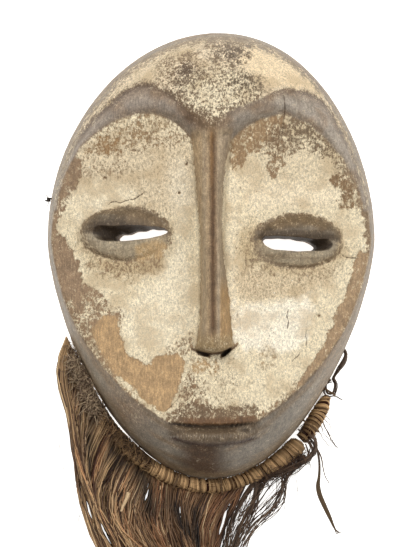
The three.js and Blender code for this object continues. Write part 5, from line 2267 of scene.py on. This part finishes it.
            paths = parting.spread(paths, yielding)
        paths = keep_off(paths, 0.1)
        thick = draw.uniform(*self.radius, count)[:, None] * mix(1.0, 0.45, down**3)
        return paths, thick, self.colours(draw, layer, ids)

    def colours(self, draw: np.random.Generator, layer: Array, ids: Array) -> Array:
        """Each strand's tone, with painted light and shade: the deeper it lies, the darker.

        Args:
            draw: The source of random numbers.
            layer: How high each tuft lies, from 0 to 1.
            ids: Which tuft each strand is in.

        Returns:
            A tone for each strand.
        """
        count = len(ids)
        # painted light and shade: the higher a tuft lies, the lighter its strands
        light = np.clip(0.05 + 0.6 * layer + draw.normal(0, 0.2, len(layer)), 0, 1)[ids]
        light = np.clip(light + draw.normal(0, 0.45, count), 0, 1.1)[:, None]
        shade = mix(np.array(self.dark), np.array(self.light), light)
        middle = smooth(0.35, 0.65, (np.arange(len(layer)) / len(layer))[ids])[:, None]
        shade = shade * mix(1.1, np.array((0.62, 0.55, 0.55)), middle)
        # painted shade: the lowest tufts darken towards the deep tone
        sunk = smooth(0.45, 0.05, layer)[ids][:, None]
        shade = mix(shade, np.array(self.deep), 0.8 * sunk)
        red = (draw.random(len(layer)) < 0.3)[ids][:, None]
        shade = shade * np.where(red, (1.06, 0.9, 0.84), (1.0, 1.0, 1.0))
        # painted highlights: a few strands made pale all along
        return mix(shade, np.array(self.bleached), (draw.random(count) < 0.07)[:, None] * 0.8)

    def shadow(self, paths: Array) -> Array:
        """How much of its tone each point keeps, near the dark hollows between the locks.

        Args:
            paths: The strands' points.

        Returns:
            The shares, from 0 to 1.
        """
        flat = paths.reshape(-1, 3)
        kept = np.ones(len(flat))
        for start, end, width in self.shadows:
            kept *= 1 - 0.86 * bell(line_distance(flat, np.array([start, end])), width)
        return kept[:, None]

    def build(self, material: Material) -> list[Piece]:
        """Makes the strands in pieces from left to right.

        Args:
            material: The fibre's finish.

        Returns:
            The finished pieces.
        """
        draw = np.random.default_rng(self.seed)
        paths, thick, shade = self.groom(draw)
        order = np.argsort(paths[:, 4, 0])
        pieces = []
        for side, part in zip(("left", "middle", "right"), np.array_split(order, 3)):
            draft = sweep(paths[part], thick[part], self.sides, (0.05, 0.03, 1.0), 0.7)
            piece = draft.make(f"beard_{side}", material, Slot.BEARD)
            kept = np.repeat(shade[part], self.steps, axis=0) * self.shadow(paths[part])
            paint(piece, "tone", np.repeat(kept, self.sides, axis=0))
            pieces.append(piece)
        for index, piece in enumerate(pieces):
            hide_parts(*[f"beard_lock_{3 * index + k}" for k in (1, 2, 3)])
        return pieces


@dataclass
class ShortHairs:
    """Short tangled fibres scattered beside a line, as in the matted tuft beside the jaw."""

    name: str
    start: Point
    end: Point
    spread: Point
    count: int
    reach: tuple[float, float]
    heading: Point
    curl: float
    radius: tuple[float, float]
    seed: int
    dark: Colour = srgb(50, 34, 24)
    light: Colour = srgb(132, 106, 80)
    steps: int = 9
    sides: int = 3

    def build(self, material: Material) -> Piece:
        """Makes the hairs as one piece.

        Args:
            material: The fibre's finish.

        Returns:
            The finished piece.
        """
        draw = np.random.default_rng(self.seed)
        root = mix(np.array(self.start), np.array(self.end), draw.random((self.count, 1)))
        root = root + np.array(self.spread) * draw.normal(0, 0.5, (self.count, 3))
        heading = unit(np.array(self.heading) + self.curl * 0.5 * draw.normal(0, 1, (self.count, 3)))
        bends = np.cumsum(draw.normal(0, self.curl * 0.3, (self.count, self.steps, 3)), axis=1)
        stride = draw.uniform(*self.reach, self.count)[:, None, None] / self.steps
        paths = root[:, None] + np.cumsum(unit(heading[:, None] + bends) * stride, axis=1)
        paths[..., 2] = np.clip(paths[..., 2], 0.4, 16.0)
        paths = keep_off(paths, 0.1)
        thick = draw.uniform(*self.radius, self.count)[:, None] * np.linspace(1, 0.5, self.steps)[None]
        piece = sweep(paths, thick, self.sides, (0.11, 0.17, 1.0)).make(self.name, material, Slot.BEARD)
        shade = tones(draw, self.count, self.dark, self.light, 1.3)
        paint(piece, "tone", np.repeat(shade, self.steps * self.sides, axis=0))
        return piece


MATTED_TUFT = ShortHairs(
    "matted_tuft", start=(-67.4, -46, 12), end=(-56.4, -77.5, 13.5), spread=(4.8, 5, 1.6), count=900,
    reach=(2, 8), heading=(-0.1, -0.8, 0), curl=1.5, radius=(0.15, 0.32), seed=17,
    dark=srgb(106, 86, 69), light=srgb(198, 174, 144),
)
MATTED_ROOT = ShortHairs(
    "matted_root", start=(-54, -79, 10), end=(-30, -101, 10.5), spread=(3, 3, 2), count=420,
    reach=(2, 8), heading=(-0.4, -0.6, 0), curl=1.3, radius=(0.15, 0.3), seed=23,
    dark=srgb(62, 44, 32), light=srgb(158, 127, 92),
)
TANGLE = ShortHairs(
    "tangle_under_rope", start=(24, -110, 5), end=(47.5, -98.5, 6), spread=(2.6, 3.2, 3), count=640,
    reach=(3, 8), heading=(-0.7, -0.5, 0), curl=1.2, radius=(0.15, 0.28), seed=19,
    dark=srgb(44, 30, 25), light=srgb(112, 86, 68),
)


@dataclass(frozen=True)
class Bundle:
    """A few fibres that run together along a route."""

    route: tuple[Place, ...]
    fibres: int = 5
    spread: float = 0.5
    radius: float = 0.24
    level: tuple[float, float] = (4.0, 1.0)  # the height at the root and at the end


@dataclass
class LooseFibres:
    """The thin dark bundles at the right of the beard, the stray hairs round it and the split ends."""

    name: str
    bundles: tuple[Bundle, ...]
    seed: int = 41
    dark: Colour = srgb(52, 38, 32)
    light: Colour = srgb(112, 90, 72)
    steps: int = 28
    sides: int = 4

    def build(self, material: Material) -> Piece:
        """Makes the bundles as one piece.

        Args:
            material: The fibre's finish.

        Returns:
            The finished piece.
        """
        draw = np.random.default_rng(self.seed)
        share = np.linspace(0, 1, self.steps)
        drafts, colours = [], []
        for bundle in self.bundles:
            route = resample(np.array(bundle.route), self.steps)
            count = bundle.fibres
            phase = draw.uniform(0, FULL_TURN, (2, count, 1))
            sway = bundle.spread * (np.sin(phase[0] + 7 * share) + 0.5 * np.sin(phase[1] + 17 * share))
            along = unit(np.gradient(route, axis=0))
            off = draw.normal(0, 0.5 * bundle.spread, (count, 1)) + sway * smooth(0, 0.2, share)
            paths = np.zeros((count, self.steps, 3))
            paths[..., 0] = route[:, 0] - off * along[:, 1]
            paths[..., 1] = route[:, 1] + off * along[:, 0]
            lift = bundle.spread * (1 + np.sin(phase[1] + 5 * share))
            paths[..., 2] = mix(*bundle.level, smooth(0, 0.8, share)) + lift
            thick = bundle.radius * draw.uniform(0.7, 1.2, (count, 1)) * mix(1.0, 0.55, share)
            drafts.append(sweep(paths, thick, self.sides, (0.04, 0.06, 1.0), 0.8))
            shade = tones(draw, count, self.dark, self.light, 1.2)
            colours.append(np.repeat(shade, self.steps * self.sides, axis=0))
        piece = joined(drafts).make(self.name, material, Slot.BEARD)
        paint(piece, "tone", np.concatenate(colours))
        return piece


PALE_FIBRE = (
    Bundle(((-40.6, -116.6), (-41.6, -119.6), (-43, -123), (-44.4, -126)), 1, 0.1, 0.95, (15.5, 14.5)),
)
RIGHT_BUNDLES = (
    Bundle(((48.2, -88.6), (51, -91), (51.2, -95.4), (48.6, -99.6), (44, -103), (39, -105.6), (34.3, -107.6),
            (26.5, -110.2), (20, -112)), 10, 0.7, 0.26, (10.0, 5.0)),
    Bundle(((47, -91), (49.6, -95), (47.4, -100.2), (42, -104.2), (35.5, -106.8), (28, -109), (22, -113),
            (17, -121), (13.5, -131)), 8, 1.3, 0.24, (8.0, 4.0)),
    Bundle(((18, -110), (15, -117), (11.5, -124), (8.5, -133), (6.5, -145), (3, -165), (-1, -190)), 8, 0.8,
           0.24, (3.0, 2.0)),
    Bundle(((22, -112), (18.5, -117), (13.5, -124.5), (10, -133), (8, -146), (4, -168)), 8, 0.6, 0.26,
           (4.0, 2.0)),
    Bundle(((22.2, -108), (22.2, -114.9), (20.8, -123.4), (16.8, -131.8), (12.4, -140.7), (7.4, -150.5),
            (3.5, -165.4), (-1.5, -190.1), (-7.4, -219.8)), 15, 1.3, 0.24, (3.0, 2.0)),
    Bundle(((25.2, -107), (23.7, -114), (22.7, -120.9), (19.3, -128.8), (14.8, -137.2), (10.4, -146.6),
            (5.4, -162.9), (1.5, -185.2), (-3.5, -214.8)), 12, 1.3, 0.22, (3.0, 1.5)),
    Bundle(((29.2, -106), (26.2, -113), (22.2, -119.4), (17.3, -126.3), (13.3, -134.2), (9.9, -143.1),
            (6.4, -158), (1.5, -180.2), (-4, -204.9)), 11, 1.4, 0.21),
    Bundle(((35.6, -105.1), (35.6, -113), (34.6, -119.4), (30.2, -125.8), (23.7, -131.8), (18.8, -137.2),
            (14.8, -144.6), (10.4, -160.4), (5.4, -182.7)), 11, 1.5, 0.2),
    Bundle(((39.1, -102.1), (37.6, -110), (33.1, -116.9), (27.2, -123.4), (21.3, -129.8), (16.8, -137.7),
            (12.9, -146.6), (8.4, -165.4), (4, -190.1)), 10, 1.5, 0.19),
    Bundle(((24.2, -107), (20.8, -113), (15.8, -120), (11.4, -129), (8.8, -140), (6.4, -152), (3, -170),
            (-1, -195)), 9, 1.2, 0.24, (3.0, 3.0)),
    Bundle(((48.9, -90.2), (51.4, -94.4), (50.9, -97.1), (47.5, -100.6), (42.3, -105.1), (37.1, -110.5),
            (33.3, -118.4), (29.7, -125.8), (26.5, -128.3), (21.3, -132.3), (16.8, -138.9), (12.4, -148.6)),
           6, 0.35, 0.26),
    Bundle(((46.5, -93), (48, -98.2), (44.1, -103.2), (38.4, -107.2), (33, -110.5), (26.6, -117), (21, -126),
            (16.5, -136)), 4, 0.5, 0.2),
    Bundle(((30, -106), (33, -111), (32, -118), (27, -122), (24, -127)), 3, 0.5, 0.16),
    Bundle(((35.9, -111), (36.3, -120.9), (35.9, -132.7)), 1, 0.4, 0.14),
    Bundle(((42.5, -106), (42.3, -111), (41, -124.8), (38.6, -126.3), (36.2, -124)), 2, 0.5, 0.09),
    Bundle(((27.2, -120.9), (28.2, -128.3), (31.6, -130.3), (36.6, -129.3)), 1, 0.3, 0.09),
    Bundle(((33, -124), (34.8, -133), (38, -140), (36, -146)), 1, 0.3, 0.08),
    Bundle(((20, -136), (22.5, -143), (27, -149)), 1, 0.3, 0.08),
)
LEFT_STRAYS = (
    Bundle(((-71, -84), (-74.4, -90), (-74.9, -97), (-73.2, -103.6), (-71.2, -108),
            (-69.3, -106.5)), 2, 0.35, 0.1),
    Bundle(((-73.7, -54.6), (-78.6, -56.1), (-81, -57.4)), 2, 0.5, 0.08),
    Bundle(((-73, -68), (-75.6, -70.9), (-78.1, -74.4)), 2, 0.5, 0.08),
    Bundle(((-72, -47), (-76, -50), (-80, -50.5)), 1, 0.3, 0.08),
    Bundle(((-66, -112), (-68.6, -118), (-67.8, -124)), 2, 0.4, 0.09),
    Bundle(((-62, -124), (-65.4, -131), (-64, -139)), 2, 0.6, 0.09),
)
ROPE_END_FIBRES = (
    Bundle(((54.9, -81), (58, -88.2), (59.9, -91.9), (62.7, -94.8)), 3, 0.25, 0.2, (6.0, 2.0)),
    Bundle(((53.9, -83.8), (56.9, -89.7), (59.3, -92), (61, -93.2)), 2, 0.3, 0.14, (6.0, 2.0)),
    Bundle(((52.4, -86), (55.6, -91.2), (58.8, -93.9), (62, -94.7)), 2, 0.3, 0.12, (6.0, 2.0)),
    Bundle(((56.5, -70), (61.2, -69.5), (63.1, -70.2), (65.1, -71.3)), 2, 0.15, 0.22, (6.0, 3.0)),
    Bundle(((43, -85.6), (45.6, -87.2), (49.5, -88.3), (51.4, -91.5)), 5, 0.6, 0.2, (8.0, 6.0)),
    Bundle(((49.6, -86.7), (51.4, -91), (51.6, -95.5), (49.4, -100)), 4, 0.6, 0.2, (6.0, 3.0)),
    Bundle(((50.5, -88.5), (52.3, -93.5), (53, -98), (53.4, -103), (53.6, -106.5)), 2, 0.2, 0.3, (5.0, 1.2)),
    Bundle(((64.6, -45.2), (66.6, -48.6), (65.4, -52.6), (62.4, -57.4), (60.2, -61), (61.4, -63), (61.4, -66),
            (59.8, -68.6), (57.4, -68.4), (56.4, -65.8), (57.2, -62.8), (59.4, -61.6)), 9, 0.55, 0.36,
           (4.0, 6.5)),
    Bundle(((56, -81), (58.4, -84), (58.2, -87.6), (60.6, -90), (60.2, -93.6)), 2, 0.5, 0.1, (5.0, 2.0)),
    Bundle(((57, -79), (60.2, -81.6), (62.8, -81.2)), 2, 0.4, 0.09, (5.0, 4.0)),
    Bundle(((52, -86), (57, -93.4), (61, -99), (63.4, -104)), 1, 0.5, 0.07, (5.0, 1.0)),
)


def twisted(path: Array, radius: float, plies: int, pitch: float, reference: Array) -> Draft:
    """A cord of twisted plies along a path.

    Args:
        path: The points of its middle, evenly spaced.
        radius: The cord's radius.
        plies: How many plies it has.
        pitch: The length of one turn.
        reference: A direction that the path never follows, or one for each point.

    Returns:
        The draft of its plies.
    """
    along = unit(np.gradient(path, axis=0))
    side = unit(np.cross(along, np.broadcast_to(reference, path.shape)))
    up = np.cross(side, along)
    run = np.r_[0, np.cumsum(np.linalg.norm(np.diff(path, axis=0), axis=1))]
    paths = []
    for ply in range(plies):
        turn = (FULL_TURN * (run / pitch + ply / plies))[:, None]
        paths.append(path + radius * 0.46 * (np.cos(turn) * side + np.sin(turn) * up))
    frames = np.broadcast_to(reference, path.shape)[None]
    return sweep(np.array(paths), np.full((plies, len(path)), radius * 0.56), 6, frames)


@dataclass
class RopeTies:
    """The threads that hold the rope: each goes round it, through the wall and under the rim."""

    angles: tuple[float, ...] = (209, 224, 240, 257, 274, 290, 311, 321.5)
    thread: float = 0.6
    clearance: float = 0.42
    inner: float = -12.9
    low: float = 0.85
    high: float = 9.2
    squareness: float = 0.5

    def ring(self, angle: float) -> Draft:
        """One tie as a squarish ring of twisted thread.

        Args:
            angle: The direction round the outline, in degrees.

        Returns:
            The ring's mesh.
        """
        run = JAW_ROPE if angle < ROPE_END.stations[0][0] else ROPE_END
        table = np.array(run.stations)
        outer = sum(np.interp(angle, table[:, 0], table[:, k]) for k in (1, 2)) + self.clearance + self.thread
        turns = np.linspace(0, FULL_TURN, 74)
        across = np.sign(np.cos(turns)) * np.abs(np.cos(turns)) ** self.squareness
        up = np.sign(np.sin(turns)) * np.abs(np.sin(turns)) ** self.squareness
        half_x, half_z = (outer - self.inner) / 2, (self.high - self.low) / 2
        offset = outer - half_x + half_x * across
        phi = np.full_like(turns, math.radians(angle))
        points = OUTLINE.beside(phi, offset, self.low + half_z + half_z * up)
        normal = np.cross([0, 0, 1.0], [*OUTLINE.outward(phi[0]), 0.0])
        return twisted(resample(points, 90), self.thread, 2, 3.2, normal)

    def build(self, material: Material) -> list[Piece]:
        """Makes each tie as a piece of its own.

        Args:
            material: The fibre's finish.

        Returns:
            The ties.
        """
        pieces = []
        for index, angle in enumerate(self.angles, start=1):
            draft = self.ring(angle)
            piece = draft.make(f"rope_tie_thread_{index}", material, Slot.ROPE)
            paint(piece, "tone", np.tile(np.array(srgb(104, 82, 60)), (len(draft.points), 1)))
            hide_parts(f"rope_tie_{index}")
            pieces.append(piece)
        return pieces


@dataclass
class LooseStrand:
    """The loose end of a tie that hangs from the right of the jaw, flat and frayed at its end."""

    route: tuple[Point, ...] = (
        (49.4, -91.4, 3.2), (50.6, -92.9, 1.9), (52.2, -95.6, 1.2), (53.3, -100.1, 0.9), (53.6, -104.6, 0.9),
        (53.4, -109.3, 0.9), (52.9, -113.9, 0.9), (53.7, -118.2, 0.9), (55.3, -122.1, 0.9),
        (57.2, -126.2, 0.9), (59.1, -130.3, 0.9), (60.4, -133.4, 0.9), (61.8, -136.2, 0.9),
    )
    branch: tuple[Point, ...] = (
        (51.5, -94, 1.5), (54.4, -99.5, 1.3), (55.4, -105, 1), (56.4, -109, 0.9), (58.4, -112.6, 0.8),
    )
    diameter: float = 1.6
    steps: int = 60
    branch_steps: int = 24
    end_steps: int = 8
    ends: int = 9
    widths: tuple[float, ...] = (0.6, 0.6, 0.55, 0.55, 0.6, 0.75, 1.1, 1.2, 1.2, 1.1, 0.95, 0.65, 0.4)
    seed: int = 29

    def build(self, material: Material) -> Piece:
        """Args:
            material: The fibre's finish.

        Returns:
            The strand.
        """
        points = resample(np.array(self.route), self.steps)
        knots = np.linspace(0, 1, len(self.widths))
        widths = through(knots, np.array(self.widths), np.linspace(0, 1, self.steps))
        draft = sweep(points[None], widths[None], 10, UP, 0.62)
        strand = draft.make("loose_strand", material, Slot.ROPE)
        paint(strand, "tone", np.tile(np.array(srgb(82, 66, 48)), (len(draft.points), 1)))
        fray = self.fray(material, points)
        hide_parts("loose_tie_end")
        length = float(np.linalg.norm(np.diff(points, axis=0), axis=1).sum()) * MM
        return strand

    def fray(self, material: Material, points: Array) -> Piece:
        """The fibres that leave the strand: a thin branch, and the tip's spread ends.

        Args:
            material: The fibre's finish.
            points: The strand's middle.

        Returns:
            The finished piece.
        """
        draw = np.random.default_rng(self.seed)
        branch = resample(np.array(self.branch), self.branch_steps)
        drafts = [sweep(branch[None], np.linspace(0.4, 0.18, self.branch_steps)[None], 6, UP)]
        tip = points[-1]
        reach = draw.uniform(2.5, 5.5, self.ends)
        lean = np.radians(draw.uniform(-95, -30, self.ends))
        share = np.linspace(0, 1, self.end_steps)
        paths = np.zeros((self.ends, self.end_steps, 3))
        paths[..., 0] = tip[0] - 0.4 + reach[:, None] * np.cos(lean)[:, None] * share
        paths[..., 1] = tip[1] + 1.0 + reach[:, None] * np.sin(lean)[:, None] * share
        paths[..., 2] = 0.7 + 0.3 * np.sin(3 * share + draw.uniform(0, 6, self.ends)[:, None])
        paths[..., 0] += 0.5 * np.sin(4 * share + draw.uniform(0, 6, self.ends)[:, None]) * share
        drafts.append(sweep(paths, np.tile(np.linspace(0.22, 0.1, self.end_steps), (self.ends, 1)), 3, UP))
        draft = joined(drafts)
        piece = draft.make("loose_strand_fray", material, Slot.ROPE)
        paint(piece, "tone", np.tile(np.array(srgb(100, 80, 62)), (len(draft.points), 1)))
        return piece


@dataclass
class TempleThread:
    """The stub of dark thread with its knot, in the hole at the left temple."""

    angle: float = 168.5
    level: float = 10.0
    swing: float = -1.0
    from_offset: float = -5.0
    to_offset: float = 2.7
    steps: int = 50
    knot_at: int = 38  # the step at which its knot sits
    wisps: tuple[Point, ...] = ((-2.2, 3.6, 0.5), (-1.0, 1.6, -1.0), (-1.4, -1.4, -0.6), (-0.4, -3.2, -1.5))
    wisp_steps: int = 8
    radius: float = 0.4

    def build(self, material: Material) -> Piece:
        """Makes the thread and its knot as one piece.

        Args:
            material: The thread's finish.

        Returns:
            The finished piece.
        """
        share = np.linspace(0, 1, self.steps)
        turn = np.radians(self.angle - self.swing * smooth(0.5, 1, share))
        path = OUTLINE.beside(turn, mix(self.from_offset, self.to_offset, share), self.level)
        drafts = [twisted(path, self.radius, 2, 2.4, UP)]
        middle = path[self.knot_at]
        turns = np.linspace(0, 6 * math.pi, 60)
        coil = np.stack([0.7 * np.cos(turns), 0.8 * np.sin(2 * turns / 3), 0.8 * np.sin(turns)], axis=-1)
        drafts.append(sweep((middle + coil)[None], np.full((1, 60), 0.3), 6, (0.31, 0.9, 0.17)))
        out = np.linspace(0, 1, self.wisp_steps)[:, None]
        for wisp in self.wisps:
            line = middle + np.array(wisp) * out + np.array([0.3, 0.2, 0.4]) * np.sin(5 * out)
            thick = np.linspace(0.24, 0.1, self.wisp_steps)
            drafts.append(sweep(line[None], thick[None], 3, (0.3, 0.2, 0.9)))
        draft = joined(drafts)
        piece = draft.make("temple_thread_stub", material, Slot.THREAD)
        paint(piece, "tone", np.tile(np.array(srgb(58, 52, 48)), (len(draft.points), 1)))
        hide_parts("temple_thread")
        return piece


@dataclass(frozen=True)
class Studio:
    """The camera, the soft lights and the floor. Its lengths are in metres."""

    distance: float = 3.5
    key: float = 20.0
    sky: float = 0.26
    floor_size: float = 1.6
    floor_drop: float = 0.0002

    def build(self) -> None:
        """Sets up the camera, the lights and the floor."""
        scene = bpy.context.scene
        camera = bpy.data.objects.new("camera", bpy.data.cameras.new("camera"))
        centre = (np.array([*PHOTO_CENTRE, 0.0]) + OFFSET) * MM
        camera.location = (centre[0], centre[1], self.distance)
        picture = PHOTO_PIXELS[1] * PIXEL * MM
        camera.data.lens = camera.data.sensor_width * self.distance / picture
        camera.data.clip_end = 50.0
        scene.collection.objects.link(camera)
        scene.camera = camera
        scene.view_settings.view_transform = "Standard"
        self.light("key_light", (-0.35, 0.75, 1.5), centre, self.key, 0.9)
        self.light("side_light", (0.9, -0.2, 1.1), centre, self.key * 0.35, 0.8)
        world = bpy.data.worlds.new("soft_room")
        world.use_nodes = True
        world.node_tree.nodes["Background"].inputs["Color"].default_value = (1.0, 0.99, 0.97, 1.0)
        world.node_tree.nodes["Background"].inputs["Strength"].default_value = self.sky
        scene.world = world
        self.floor(centre)

    def light(self, name: str, place: Point, aim: Array, power: float, size: float) -> None:
        """Adds one large soft light that looks at the mask.

        Args:
            name: The light's name.
            place: Where it stands, from the mask's middle.
            aim: The point it looks at.
            power: Its power in watts.
            size: The length of its side in metres.
        """
        lamp = bpy.data.lights.new(name, "AREA")
        lamp.energy, lamp.size = power, size
        lamp.color = (1.0, 0.985, 0.95)
        holder = bpy.data.objects.new(name, lamp)
        holder.location = Vector(aim) + Vector(place)
        holder.rotation_euler = (-Vector(place)).to_track_quat("-Z", "Y").to_euler()
        bpy.context.scene.collection.objects.link(holder)

    def floor(self, centre: Array) -> None:
        """Adds the pale floor that the mask lies on.

        Args:
            centre: The floor's middle.
        """
        half = self.floor_size / 2
        mesh = bpy.data.meshes.new("floor")
        signs = ((-1, -1), (1, -1), (1, 1), (-1, 1))
        corners = [(centre[0] + sx * half, centre[1] + sy * half, -self.floor_drop) for sx, sy in signs]
        mesh.from_pydata(corners, [], [(0, 1, 2, 3)])
        mesh.materials.append(PaleFloor().material())
        floor = bpy.data.objects.new("floor", mesh)
        bpy.context.scene.collection.objects.link(floor)


def report(piece: Piece) -> None:
    """Logs a finished piece with its number of triangles."""
    triangles = sum(len(p.vertices) - 2 for p in piece.data.polygons)
    LOG.info("%s: %d triangles", piece.name, triangles)


def main() -> None:
    """Builds the studio and every piece of the mask in order."""
    logging.basicConfig(level=logging.INFO, format="%(name)s: %(message)s")
    Studio().build()
    rope_fibre = DryFibre("rope_fibre", 0.7, 0.2).material()
    beard_fibre = DryFibre("beard_fibre", 0.48, 0.35).material()
    thread = DryFibre("dark_thread", 0.8, 0.15).material()
    report(LooseStrand().build(rope_fibre))
    report(CarvedMask().build(ChalkedWood().material()))
    report(BoundRope("jaw_rope", BOUND_JAW, ("beard_rope",)).build(rope_fibre))
    report(BoundRope("rope_end", BOUND_END, ("beard_rope_end",), tilt=1.6, stub=1.5, seed=5,
                     rib=(2.3, 0.6), worn=(0.7, 0.95, 1.15, 1.2, 1.0)).build(rope_fibre))
    for piece in RopeTies().build(rope_fibre):
        report(piece)
    for piece in Beard().build(beard_fibre):
        report(piece)
    for hairs in (MATTED_TUFT, MATTED_ROOT, TANGLE):
        report(hairs.build(beard_fibre))
    report(LooseFibres("right_fibres", RIGHT_BUNDLES).build(beard_fibre))
    report(LooseFibres("left_strays", LEFT_STRAYS, seed=43).build(beard_fibre))
    report(LooseFibres("rope_end_fibres", ROPE_END_FIBRES, seed=47).build(beard_fibre))
    pale = LooseFibres("pale_fibre", PALE_FIBRE, 53, srgb(216, 186, 146), srgb(230, 202, 162))
    report(pale.build(beard_fibre))
    report(TempleThread().build(thread))


if __name__ == "__main__":
    main()
